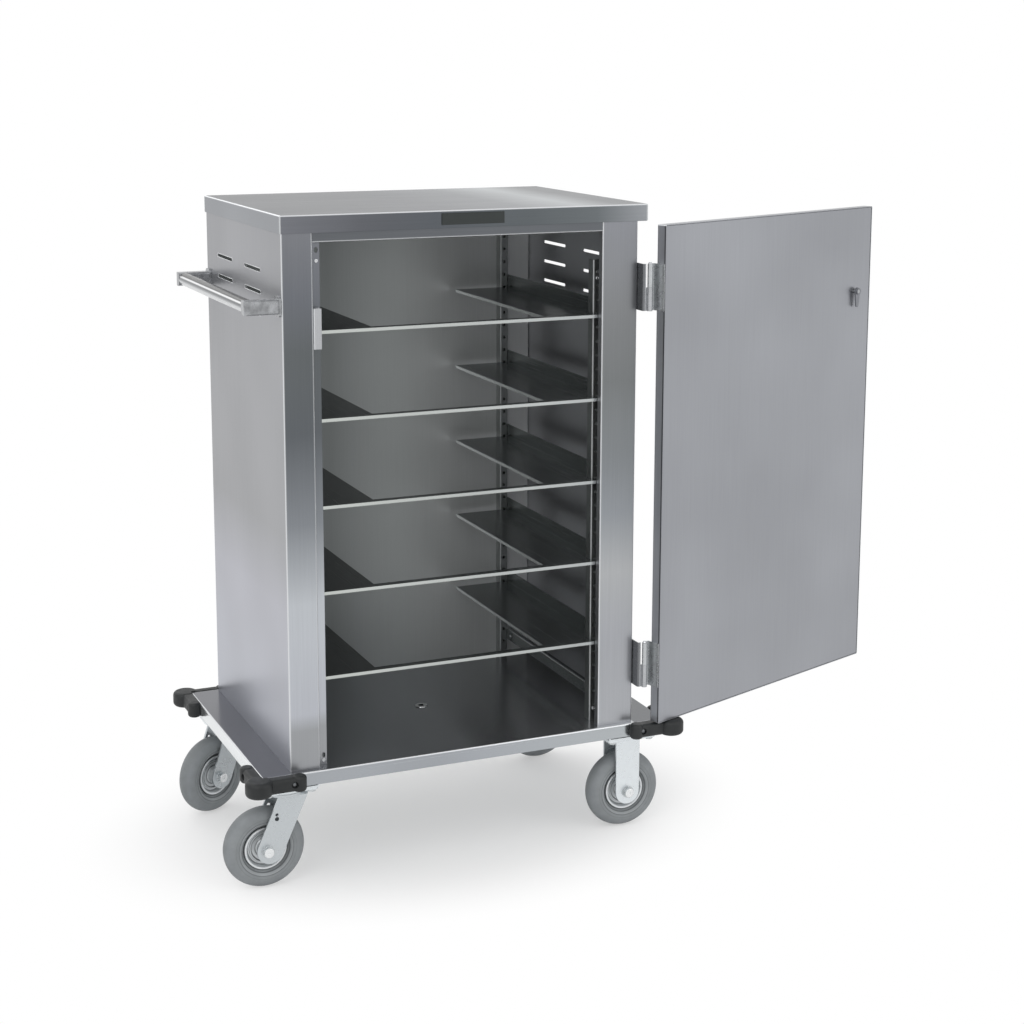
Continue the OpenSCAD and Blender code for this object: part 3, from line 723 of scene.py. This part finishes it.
    def done(self, made: Piece, body: str, material: bpy.types.Material) -> None:
        """Finishes a piece: place in its mesh, finish, body and slot.

        Args:
            made: The object.
            body: The body that it rides on.
            material: Its finish.
        """
        self.hold(made)
        bpy.ops.object.transform_apply(location=True, rotation=True, scale=True)
        bpy.ops.object.shade_smooth_by_angle(angle=math.radians(SMOOTH_DEGREES))
        made.data.materials.clear()
        made.data.materials.append(material)
        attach(made, body)
        made.select_set(False)
        log.info("%s: %d faces", made.name, len(made.data.polygons))


# ---- Sub-assemblies ----

@dataclass
class Cabinet:
    """The folded sheet-metal body with its cap, deck, welds, vents and blank nameplate."""

    # painted light: a pale painted sheen low on the jamb that sinks to dark grey above, a side
    # painted paler low down, and a painted highlight on the stop's edge
    left_side: BrushedStainless = BrushedStainless(
        "stainless_left_side", "#A6A7AB", 0.34,
        side=Drift(Grain.ALONG_Z, (
            (226, "#B2B5BE"), (520, "#B0B1B9"), (660, "#999A9D"), (1230, "#97989C"))),
        inner=Drift(Grain.ALONG_X, (
            (-345, "#8A8D90"), (-276, "#8A8D90"), (-273, "#F0F2F3"), (-271, "#F4F5F6"))),
        front=Drift(Grain.ALONG_Z, (
            (226, "#9C9EA1"), (300, "#A2A4A7"), (330, "#BEC1C8"), (535, "#C0C4C9"),
            (681, "#85898E"), (844, "#62666A"), (990, "#636769"), (1081, "#6E7177"),
            (1230, "#84868B"))))
    # the same painted sheen, softer and reaching higher
    right_side: BrushedStainless = BrushedStainless(
        "stainless_right_side", "#A6A7AB", 0.34,
        front=Drift(Grain.ALONG_Z, (
            (226, "#ADAFB3"), (412, "#ADAFB4"), (529, "#B2B4B6"), (646, "#95999E"),
            (764, "#868A8D"), (900, "#797C7D"), (1037, "#838587"), (1230, "#8D8F95"))))
    # painted shade: a dark rail, coloured darker for the cap's shade
    header: BrushedStainless = BrushedStainless(
        "stainless_header", "#66696D", 0.33, grain=Grain.ALONG_X)
    # painted reflection: a dark middle along the skirt, and one pale streak across the top
    cap: BrushedStainless = BrushedStainless(
        "stainless_cap", "#8D9095", 0.33, grain=Grain.ALONG_X,
        front=Drift(Grain.ALONG_X, (
            (-345, "#797B81"), (-200, "#64666B"), (-60, "#5C6065"), (130, "#5E6366"),
            (260, "#6A6F72"), (364, "#93969A"))),
        upper=Drift(Grain.ALONG_X, (
            (-345, "#5C5E62"), (-160, "#5B5D61"), (-20, "#64666B"), (120, "#7B7E82"),
            (230, "#AFB3B5"), (310, "#6C6E71"), (364, "#696C6F"))))
    # nearly a mirror, with a painted reflection: bright inside the cabinet, grey on the ledges
    # outside
    deck: BrushedStainless = BrushedStainless(
        "stainless_deck", "#E6E9EA", 0.2, grain=Grain.ALONG_Y,
        streak_mm=0.9, length_mm=420.0, depth=0.03,
        front=Drift(Grain.ALONG_X, ((-401, "#A4A8AC"), (0, "#A3A7AC"), (411, "#B4B9BB"))),
        upper=Drift(Grain.ALONG_X, (
            (-401, "#6C6D72"), (-346, "#6E6F74"), (-300, "#888A8E"), (-100, "#989A9E"),
            (100, "#B4B6B9"), (345, "#C2C4C6"), (347, "#66686B"), (411, "#66686B"))))
    # duller than the rest, with a soft painted light that grows to the right
    mill: BrushedStainless = BrushedStainless(
        "stainless_back_panel", "#8C9090", 0.36, depth=0.07, metallic=0.45,
        front=Drift(Grain.ALONG_X, (
            (-342, "#787C7C"), (-100, "#727676"), (60, "#A4A8A8"), (342, "#DADCDC"))))
    # a small bright strip on the stop
    keeper: BrushedStainless = BrushedStainless("latch_keeper_stainless", "#B4B6B9", 0.3)
    # finely clouded bright lines up the skirts' corners
    bead: PlatedSteel = PlatedSteel("weld_bead_ground", "#C9CCCE", 0.35, patch_mm=2.5)
    # a bright lathe-turned rim about a hole whose dark is painted shade
    drain: PlatedSteel = PlatedSteel(
        "drain_ring_turned", "#C9CBCC", 0.25,
        tone=Rings((0.0, -0.007, 0.0), UP, (
            (0, "#141617"), (5.3, "#16181A"), (6.2, "#D8DADB"), (10, "#E6E8E9"),
            (13, "#B9BBBC"))))
    # a hard, near-black gloss
    plate_finish: MouldedRubber = MouldedRubber("nameplate_enamel", "#1E2524", 0.3, rub=0.1)
    # painted highlight: a thin bright line about each slot
    rim: PlatedSteel = PlatedSteel("vent_rim_painted_highlight", "#E8EAEC", 0.24, patch_mm=5.0)

    vent_size: Pair = (104.0, 6.0)
    vent_y: tuple[float, ...] = (-70.0, 117.0)
    vent_z: tuple[float, ...] = (1123.0, 1083.5, 1044.0)
    rim_wide: float = 1.1
    rim_thick: float = 0.6
    rim_sunk: float = 0.2
    rim_soft: float = 0.2
    rim_sides: int = 24

    bead_radius: float = 1.3
    bead_inset: float = 1.0
    bead_foot: float = 0.8
    bead_short: float = 2.4
    bead_sides: int = 10
    bead_rings: int = 9
    bead_swell: float = 0.16

    plate_x: Pair = (-48.0, 73.0)
    plate_z: Pair = (1205.0, 1226.0)
    plate_thick: float = 1.6
    plate_steps: tuple[Pair, ...] = ((1.2, 0.0), (0.4, -0.4))
    plate_soft: float = 0.35

    soft_angle: float = 50.0

    def build(self) -> None:
        """Dresses the sheets and adds the nameplate, the welds and the vents' rims."""
        for node, finish in (
                ("left_side_panel", self.left_side), ("right_side_panel", self.right_side),
                ("header_rail", self.header), ("top_cap", self.cap),
                ("chassis_deck", self.deck), ("back_panel", self.mill),
                ("latch_keeper", self.keeper), ("floor_drain", self.drain)):
            dress([node], finish.build())
        self.add_nameplate()
        self.add_weld_beads()
        self.add_vent_rims()

    def add_vent_rims(self) -> None:
        """Adds the rim that the punch leaves about each slot, with a painted highlight."""
        bench = Bench("vent_rim")
        first = self.model_rim(bench)
        finish = self.rim.build()
        left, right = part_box("left_side_panel")[0].x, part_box("right_side_panel")[1].x
        for side, x, way in (("left", left, -1), ("right", right, 1)):
            for row, z in enumerate(self.vent_z, 1):
                for column, y in enumerate(self.vent_y, 1):
                    rim = bench.copy(first, f"vent_rim_{side}_{row}_{column}")
                    place = (x - way * self.rim_sunk * MM, y * MM, z * MM)
                    bench.point(rim, place, (way, 0, 0))
                    bench.done(rim, "cart", finish)
        bench.discard(first)

    def model_rim(self, bench: Bench) -> Piece:
        """Models one rim on the origin: a rod, pulled out to a slot's shape and opened.

        Args:
            bench: The bench.

        Returns:
            The rim.
        """
        length, height = (v * MM for v in self.vent_size)
        wide = self.rim_wide * MM
        rim = bench.rod(height / 2 + wide, self.rim_thick * MM, self.rim_sides)
        # half a side's turn leaves no corner in the middle, where the halves part
        rim.rotation_euler.z = math.pi / self.rim_sides
        bpy.ops.object.transform_apply(location=True, rotation=True, scale=True)
        for way in (-1, 1):
            bench.pick(rim, "VERT", lambda corner: corner.co.x * way > 0)
            bpy.ops.transform.translate(value=(way * (length - height) / 2, 0, 0))
            bpy.ops.object.mode_set(mode="OBJECT")
        bench.pick(rim, "FACE", lambda face: abs(face.normal.z) > LOOKS_ALONG)
        bpy.ops.mesh.inset(thickness=wide, depth=0)
        bpy.ops.mesh.bridge_edge_loops()
        bpy.ops.object.mode_set(mode="OBJECT")
        bench.bevel(rim, self.rim_soft * MM, self.soft_angle)
        return rim

    def add_weld_beads(self) -> None:
        """Adds the ground weld up each corner of the cap's and the deck's skirts."""
        finish = self.bead.build()
        radius, inset = self.bead_radius * MM, self.bead_inset * MM
        for node in ("top_cap", "chassis_deck"):
            low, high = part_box(node)
            height = high.z - low.z - self.bead_short * MM
            for x, side in ((low.x, "left"), (high.x, "right")):
                for y, end in ((low.y, "front"), (high.y, "rear")):
                    bench = Bench(f"weld_{node}_{end}_{side}")
                    seam = bench.rod(radius, height, self.bead_sides)
                    bench.ripple(seam, radius, self.bead_rings, self.bead_swell * MM)
                    place = (x - math.copysign(inset, x), y - math.copysign(inset, y),
                             low.z + self.bead_foot * MM)
                    bench.point(seam, place, UP)
                    bench.done(seam, "cart", finish)

    def add_nameplate(self) -> None:
        """Adds the blank plate on the cap's front skirt: a bevelled block with a sunk face."""
        bench = Bench("nameplate_blank")
        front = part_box("top_cap")[0].y
        thick = self.plate_thick * MM
        x0, x1 = (v * MM for v in self.plate_x)
        z0, z1 = (v * MM for v in self.plate_z)
        plate = bench.block(((x0 + x1) / 2, front - thick / 2, (z0 + z1) / 2),
                            (x1 - x0, thick, z1 - z0))
        bench.pick(plate, "FACE", lambda face: -face.normal.y > LOOKS_ALONG)
        bench.step_in(self.plate_steps)
        bench.bevel(plate, self.plate_soft * MM, self.soft_angle)
        bench.done(plate, "cart", self.plate_finish.build())


@dataclass
class Rack:
    """The punched posts, the shelves, the low guides and their screws."""

    # dull grey, with folds whose painted highlight is kept faint in the cabinet's shade
    posts: BrushedStainless = BrushedStainless(
        "post_stainless", "#8D9090", 0.36, fold_highlight_share=0.3)
    # painted shade: ledges near black on the left to grey on the right; painted highlights on
    # lips
    shelves: BrushedStainless = BrushedStainless(
        "shelf_stainless", "#767A7A", 0.26, grain=Grain.ALONG_Y,
        streak_mm=0.9, length_mm=420.0, depth=0.03,
        front=Drift(Grain.ALONG_X, ((-288, "#C4C8C4"), (288, "#B4B8B8"))),
        inner=Drift(Grain.ALONG_X, (
            (-288, "#767A7A"), (-176, "#767A7A"), (-172, "#E8EBEB"), (-168, "#E8EBEB"),
            (-164, "#767A7A"), (288, "#767A7A"))),
        side=Drift(Grain.ALONG_X, (
            (-288, "#767A7A"), (164, "#767A7A"), (168, "#F4F6F6"), (172, "#F4F6F6"),
            (176, "#767A7A"), (288, "#767A7A"))),
        upper=Drift(Grain.ALONG_X, (
            (-288, "#303232"), (-170, "#343636"), (170, "#868A8A"), (288, "#969A9A"))))
    # points of light in the dark of the rack
    bright: PlatedSteel = PlatedSteel("rack_screw_polished", "#E2E4E6", 0.18)
    # the same, a shade softer on the stop
    stud: PlatedSteel = PlatedSteel("stop_stud_polished", "#D4D6D8", 0.22)

    post_screws_z: Rows = (("low", 250.0), ("high", 1092.0))
    guide_screws_y: Rows = (("front", -178.0), ("rear", 206.0))
    studs_xy: Pair = (-277.4, -235.0)
    studs_z: Rows = (("low", 234.0), ("high", 1149.0))
    head_radius: float = 3.4
    head_high: float = 1.9
    head_sides: int = 16
    head_steps: tuple[Pair, ...] = ((0.9, 0.3), (1.1, 0.0), (0.3, -0.8))
    head_soft: float = 0.25
    soft_angle: float = 40.0

    def build(self) -> None:
        """Dresses the rack and adds its screws and the stop's studs."""
        dress([n for n in frame["nodes"] if "_post_" in n], self.posts.build())
        dress([n for n in frame["nodes"] if n.startswith(("tray_shelf", "low_guide"))],
              self.shelves.build())
        self.add_screws()

    def add_screws(self) -> None:
        """Adds the screws and studs: one head is modelled, then copied to each spot."""
        bench = Bench("rack_screw")
        first = self.model_head(bench)
        bright, stud = self.bright.build(), self.stud.build()
        spots = [(*spot, bright) for side in ("left", "right") for spot in self.side_spots(side)]
        x, y = self.studs_xy
        spots += [(f"stop_stud_{row}", (x * MM, y * MM, z * MM), (0, -1, 0), stud)
                  for row, z in self.studs_z]
        for name, place, way, finish in spots:
            screw = bench.copy(first, name)
            bench.point(screw, place, way)
            bench.done(screw, "cart", finish)
        bench.discard(first)

    def side_spots(self, side: str) -> list[tuple[str, Vec, Vec]]:
        """Finds where the screws of one side's front post and low guide stand.

        Args:
            side: left or right.

        Returns:
            Each screw's name, its place and the way that its head points.
        """
        post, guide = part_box(f"front_post_{side}"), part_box(f"low_guide_{side}")
        middle, level = (post[0].x + post[1].x) / 2, (guide[0].z + guide[1].z) / 2
        inner, way = (guide[1].x, 1) if side == "left" else (guide[0].x, -1)
        spots = [(f"post_screw_{side}_{row}", (middle, post[0].y, z * MM), (0, -1, 0))
                 for row, z in self.post_screws_z]
        return spots + [(f"guide_screw_{side}_{row}", (inner, y * MM, level), (way, 0, 0))
                        for row, y in self.guide_screws_y]

    def model_head(self, bench: Bench) -> Piece:
        """Models a pan-head screw's head with its round recess, on the origin.

        Args:
            bench: The bench.

        Returns:
            The head.
        """
        head = bench.rod(self.head_radius * MM, self.head_high * MM, self.head_sides)
        bench.pick(head, "FACE", looks_up)
        bench.step_in(self.head_steps)
        bench.bevel(head, self.head_soft * MM, self.soft_angle)
        return head


@dataclass
class Door:
    """The door with its panels, hinges and latch."""

    # an even pale grey sheet with a painted highlight, one bright band down its hinge edge
    sheet: BrushedStainless = BrushedStainless(
        "door_stainless", "#9FA1A6", 0.35, turned=200.4,
        inner=Drift(Grain.ALONG_Y, (
            (-293, "#606266"), (-290.6, "#64666A"), (-289.4, "#B8BABF"), (-276, "#B8BABF"),
            (-274, "#6C6E72"), (-272, "#64666A"))))
    # painted light: a highlight on the rolled knuckle, and a flat leaf beside it in painted
    # shade
    leaf: PlatedSteel = PlatedSteel(
        "hinge_leaf_stainless", "#8B8D90", 0.28,
        tone=Rings((0.358, -0.276, 0.0), UP, (
            (0, "#C2C4C7"), (9, "#B4B6B9"), (9.6, "#7A7C7F"), (30, "#6E7073"))))
    # painted light: the door's leaf, brighter than the frame's as it faces the light whole
    door_leaf: PlatedSteel = PlatedSteel("hinge_door_leaf_stainless", "#C4C7C9", 0.28)
    # painted highlight: pins and screw heads coloured bright as sharp small glints
    bright: PlatedSteel = PlatedSteel("fastener_bright", "#D2D4D6", 0.2)
    # painted shade: screw heads coloured dark for the shade of the jamb
    shaded_fasteners: PlatedSteel = PlatedSteel("fastener_painted_shade", "#777A7D", 0.42)
    # a soft silver lever and plate
    casting: PlatedSteel = PlatedSteel("latch_satin_casting", "#B6B8BA", 0.3)
    # a grey bar that keeps back from the sheet behind it
    pawl: PlatedSteel = PlatedSteel("latch_pawl_satin", "#8C8E93", 0.36)

    def build(self) -> None:
        """Dresses the door and everything on it."""
        dress(["door_pan", "door_inner_panel"], self.sheet.build())
        dress(["frame_leaf_upper", "frame_leaf_lower"], self.leaf.build())
        dress(["door_leaf_upper", "door_leaf_lower"], self.door_leaf.build())
        dress(["hinge_pins", "door_screws"], self.bright.build())
        dress(["body_screws"], self.shaded_fasteners.build())
        dress(["latch_lever", "latch_escutcheon"], self.casting.build())
        dress(["latch_pawl"], self.pawl.build())


@dataclass
class Handle:
    """The push handle: a tube between two cast brackets."""

    # polished round, with a painted reflection: a white line along it, dark above and grey below
    tube: PlatedSteel = PlatedSteel(
        "handle_tube_painted_reflection", "#B9BBBE", 0.2, patch_mm=20.0, mottle=0.05,
        tone=Bands(UP, (
            (-1, "#C4C6C8"), (-0.2, "#C9CBCD"), (0.12, "#74777A"), (0.34, "#5E6164"),
            (0.46, "#F4F5F6"), (0.6, "#F0F1F2"), (0.68, "#1E2021"), (0.9, "#2A2C2D"),
            (1, "#303234"))))
    # silver with the large clouds of a tumbled casting
    casting: PlatedSteel = PlatedSteel(
        "handle_bracket_cast", "#B4B6B9", 0.26, patch_mm=17.0, mottle=0.5)

    def build(self) -> None:
        """Dresses the handle."""
        dress(["handle_tube"], self.tube.build())
        dress(["handle_bracket_front", "handle_bracket_rear"], self.casting.build())


@dataclass
class Bumpers:
    """The four rubber corner bumpers."""

    # matt black with faintly paler rubbed places
    rubber: MouldedRubber = MouldedRubber("bumper_black_rubber", "#191C1D", 0.5)

    def build(self) -> None:
        """Dresses the bumpers."""
        dress([n for n in frame["nodes"] if n.startswith("bumper_")], self.rubber.build())


@dataclass
class Casters:
    """Forks, plates, axles and wheels."""

    # near-white plates and forks with faint clouds from the bath
    steel: PlatedSteel = PlatedSteel("caster_zinc_plate", "#E2E7EA", 0.3, mottle=0.06)
    # the swivel forks, a shade greyer
    swivel: PlatedSteel = PlatedSteel("caster_zinc_swivel", "#C8CDD0", 0.3, mottle=0.06)
    # bolts and axles with a clearer gloss
    nuts: PlatedSteel = PlatedSteel("caster_bolt_zinc", "#CDD1D3", 0.26)
    # dull mid grey, with painted shade in dark lines on both sides of the raised ring
    tread: MouldedRubber = MouldedRubber("tyre_grey_rubber", "#85898B", 0.6, rub=0.12)
    tread_stops: Stops = (
        (40, "#8B8F91"), (44, "#8E9294"), (45.4, "#5A5D60"), (46.6, "#94989A"),
        (50.2, "#989C9E"), (51.2, "#606366"), (52.4, "#85898B"), (56.6, "#85898B"),
        (57.2, "#777B7D"), (58, "#85898B"), (71, "#83878A"), (76, "#7A7E80"))
    # a pale pressed disc whose steps get painted shade and painted highlights as dark and bright
    # rings
    core: MouldedRubber = MouldedRubber(
        "wheel_core_grey", "#9DA1A4", 0.34, rub=0.08, metallic=0.45)
    core_stops: Stops = (
        (10, "#C6CACD"), (17, "#D0D4D6"), (18.5, "#4A4D50"), (20, "#C8CCCE"),
        (24, "#DADDDF"), (26, "#55585B"), (27.4, "#BDC1C3"), (31, "#E2E5E7"),
        (32.6, "#5E6164"), (34, "#CDD1D3"), (38.6, "#E9ECEE"), (40.5, "#8A8E90"))
    # a bright round button on the fork's outer side
    cap: PlatedSteel = PlatedSteel("axle_cap_polished", "#EDEFF0", 0.2, patch_mm=4.0)

    cap_radius: float = 9.0
    cap_high: float = 1.5
    cap_sides: int = 32
    cap_steps: tuple[Pair, ...] = ((1.6, 0.5), (4.6, 0.2), (0.8, 0.0), (0.3, -1.2))
    cap_reach: float = 37.5
    cap_soft: float = 0.25
    soft_angle: float = 40.0

    def build(self) -> None:
        """Dresses the casters and adds the axles' caps."""
        nodes = frame["nodes"]
        dress([n for n in nodes if n.startswith(("top_plate", "rigid_fork", "caster_channel"))],
              self.steel.build())
        dress([n for n in nodes if n.startswith("swivel_fork")], self.swivel.build())
        dress([n for n in nodes if n in ("caster_bolts", "rigid_axles")
               or n.startswith("swivel_axle")], self.nuts.build())
        for spin in frame["joints"]:
            if spin["name"].startswith("spin_"):
                where = spin["name"].removeprefix("spin_")
                self.dress_wheel(spin, where)
                self.add_axle_cap(spin, where)

    def dress_wheel(self, spin: dict[str, Any], where: str) -> None:
        """Gives a wheel its rings about its axle.

        Args:
            spin: The wheel's joint.
            where: The wheel's corner.
        """
        middle, axis = tuple(spin["pos_m"]), tuple(spin["axis"])
        for node, finish, stops in (("tyre", self.tread, self.tread_stops),
                                    ("hub", self.core, self.core_stops)):
            ringed = replace(finish, name=f"{finish.name}_{where}",
                             tone=Rings(middle, axis, stops))
            dress([f"{node}_{where}"], ringed.build())

    def add_axle_cap(self, spin: dict[str, Any], where: str) -> None:
        """Adds the axle head's round pressed cap with a dimple in its middle.

        Args:
            spin: The wheel's joint.
            where: The wheel's corner.
        """
        bench = Bench(f"axle_cap_{where}")
        cap = bench.rod(self.cap_radius * MM, self.cap_high * MM, self.cap_sides)
        bench.pick(cap, "FACE", looks_up)
        bench.step_in(self.cap_steps)
        bench.bevel(cap, self.cap_soft * MM, self.soft_angle)
        axis = Vector(spin["axis"])
        bench.point(cap, Vector(spin["pos_m"]) - axis * self.cap_reach * MM, -axis)
        bench.done(cap, spin["parent"], self.cap.build())


# ---- Studio ----

@dataclass
class Studio:
    """A pale floor, a white surround and soft lamps, all in metres."""

    floor_size: float = 30.0
    floor_drop: float = 0.0005
    floor_colour: str = "#F2F2F2"
    footprint: Vec = (0.45, 0.32, 1.0)
    near: float = 0.75
    far: float = 1.58
    least_glow: float = 0.3
    surround: float = 1.0
    ambient: float = 0.85

    def build(self) -> None:
        """Makes the floor, the world and the lamps."""
        self.add_floor()
        self.add_world()
        self.add_lamp("key_lamp", (-2.6, -2.4, 3.6), aim=(0, 0, 0.6), size=2.4, power=34)
        self.add_lamp("fill_lamp", (2.8, -3.2, 2.2), aim=(0.3, 0, 0.6), size=2.6, power=16)
        self.add_lamp("back_lamp", (-1.2, 3.2, 3.4), aim=(0, 0, 0.8), size=2.4, power=20)

    def add_floor(self) -> None:
        """Makes the floor: pale paper that keeps the cart's shadow and fades to white."""
        bpy.ops.object.select_all(action="DESELECT")
        bpy.ops.mesh.primitive_plane_add(size=self.floor_size, location=(0, 0, -self.floor_drop))
        floor = bpy.context.object
        floor.name = "studio_floor"
        material = bpy.data.materials.new("studio_paper")
        tree = clear_tree(material)
        paper = add_node(tree, "BsdfDiffuse", {"Color": linear(self.floor_colour)})
        glow = add_node(tree, "Emission", {"Color": WHITE, "Strength": 1.0})
        # the fade goes by a distance measured in footprints of the cart
        spread = add_node(tree, "VectorMath", {"operation": "DIVIDE", 1: self.footprint},
                          {0: coords(tree, "Object")})
        reach = add_node(tree, "VectorMath", {"operation": "LENGTH"}, {0: spread.outputs[0]})
        fade = add_node(tree, "MapRange", {
            "interpolation_type": "SMOOTHSTEP", "From Min": self.near, "From Max": self.far,
            "To Min": self.least_glow, "To Max": 1.0}, {"Value": reach.outputs["Value"]})
        share = join(tree, "MULTIPLY", seen_rays(tree), fade.outputs["Result"])
        mix = add_node(tree, "MixShader", links={
            0: share, 1: paper.outputs[0], 2: glow.outputs[0]})
        add_node(tree, "OutputMaterial", links={"Surface": mix.outputs[0]})
        floor.data.materials.append(material)

    def add_world(self) -> None:
        """Makes the surround: white where it is seen, softer where it only lights."""
        world = bpy.data.worlds.new("studio_surround")
        bpy.context.scene.world = world
        tree = clear_tree(world)
        lit = add_node(tree, "Background", {"Color": WHITE, "Strength": self.ambient})
        shown = add_node(tree, "Background", {"Color": WHITE, "Strength": self.surround})
        mix = add_node(tree, "MixShader", links={
            0: seen_rays(tree), 1: lit.outputs[0], 2: shown.outputs[0]})
        add_node(tree, "OutputWorld", links={"Surface": mix.outputs[0]})

    def add_lamp(self, name: str, place: Vec, aim: Vec, size: float, power: float) -> None:
        """Adds a soft square lamp.

        Args:
            name: Its name.
            place: Where it hangs.
            aim: The point it faces.
            size: Its side.
            power: Its power, in watts.
        """
        bpy.ops.object.light_add(type="AREA", location=place)
        lamp = bpy.context.object
        lamp.name = name
        lamp.data.shape, lamp.data.size, lamp.data.energy = "SQUARE", size, power
        lamp.rotation_euler = (Vector(aim) - Vector(place)).to_track_quat("-Z", "Y").to_euler()


@dataclass
class PhotoCamera:
    """The camera at the photograph's viewing angle; angles in degrees, lens and sensor in mm."""

    place: Vec = (-1.298925, -3.439273, 1.512088)
    azimuth: float = -23.53
    elevation: float = 10.08
    roll: float = 0.13
    lens: float = 67.71
    sensor: float = 36.0
    rise: float = -120 / 1024
    clip: Pair = (0.05, 60.0)

    def build(self) -> None:
        """Makes the camera and sets it as the scene's."""
        bpy.ops.object.camera_add(location=self.place)
        camera = bpy.context.object
        camera.name = "photo_camera"
        camera.data.sensor_fit, camera.data.sensor_width = "HORIZONTAL", self.sensor
        camera.data.lens = self.lens
        camera.data.shift_y = self.rise
        camera.data.clip_start, camera.data.clip_end = self.clip
        turn, tilt = math.radians(self.azimuth), math.radians(self.elevation)
        back = Vector((math.sin(turn) * math.cos(tilt), -math.cos(turn) * math.cos(tilt),
                       math.sin(tilt)))
        aim = (-back).to_track_quat("-Z", "Y")
        aim = aim @ Euler((0, 0, math.radians(self.roll))).to_quaternion()
        camera.rotation_euler = aim.to_euler()
        bpy.context.scene.camera = camera


def main() -> None:
    """Builds the camera, the cart's dress and the studio, in order."""
    logging.basicConfig(level=logging.INFO, format="%(name)s: %(message)s")
    bpy.context.scene.view_settings.view_transform = "Standard"
    Bench.clear()
    for part in (PhotoCamera(), Cabinet(), Rack(), Door(), Handle(), Bumpers(), Casters(),
                 Studio()):
        log.info("building %s", type(part).__name__)
        part.build()


if __name__ == "__main__":
    main()
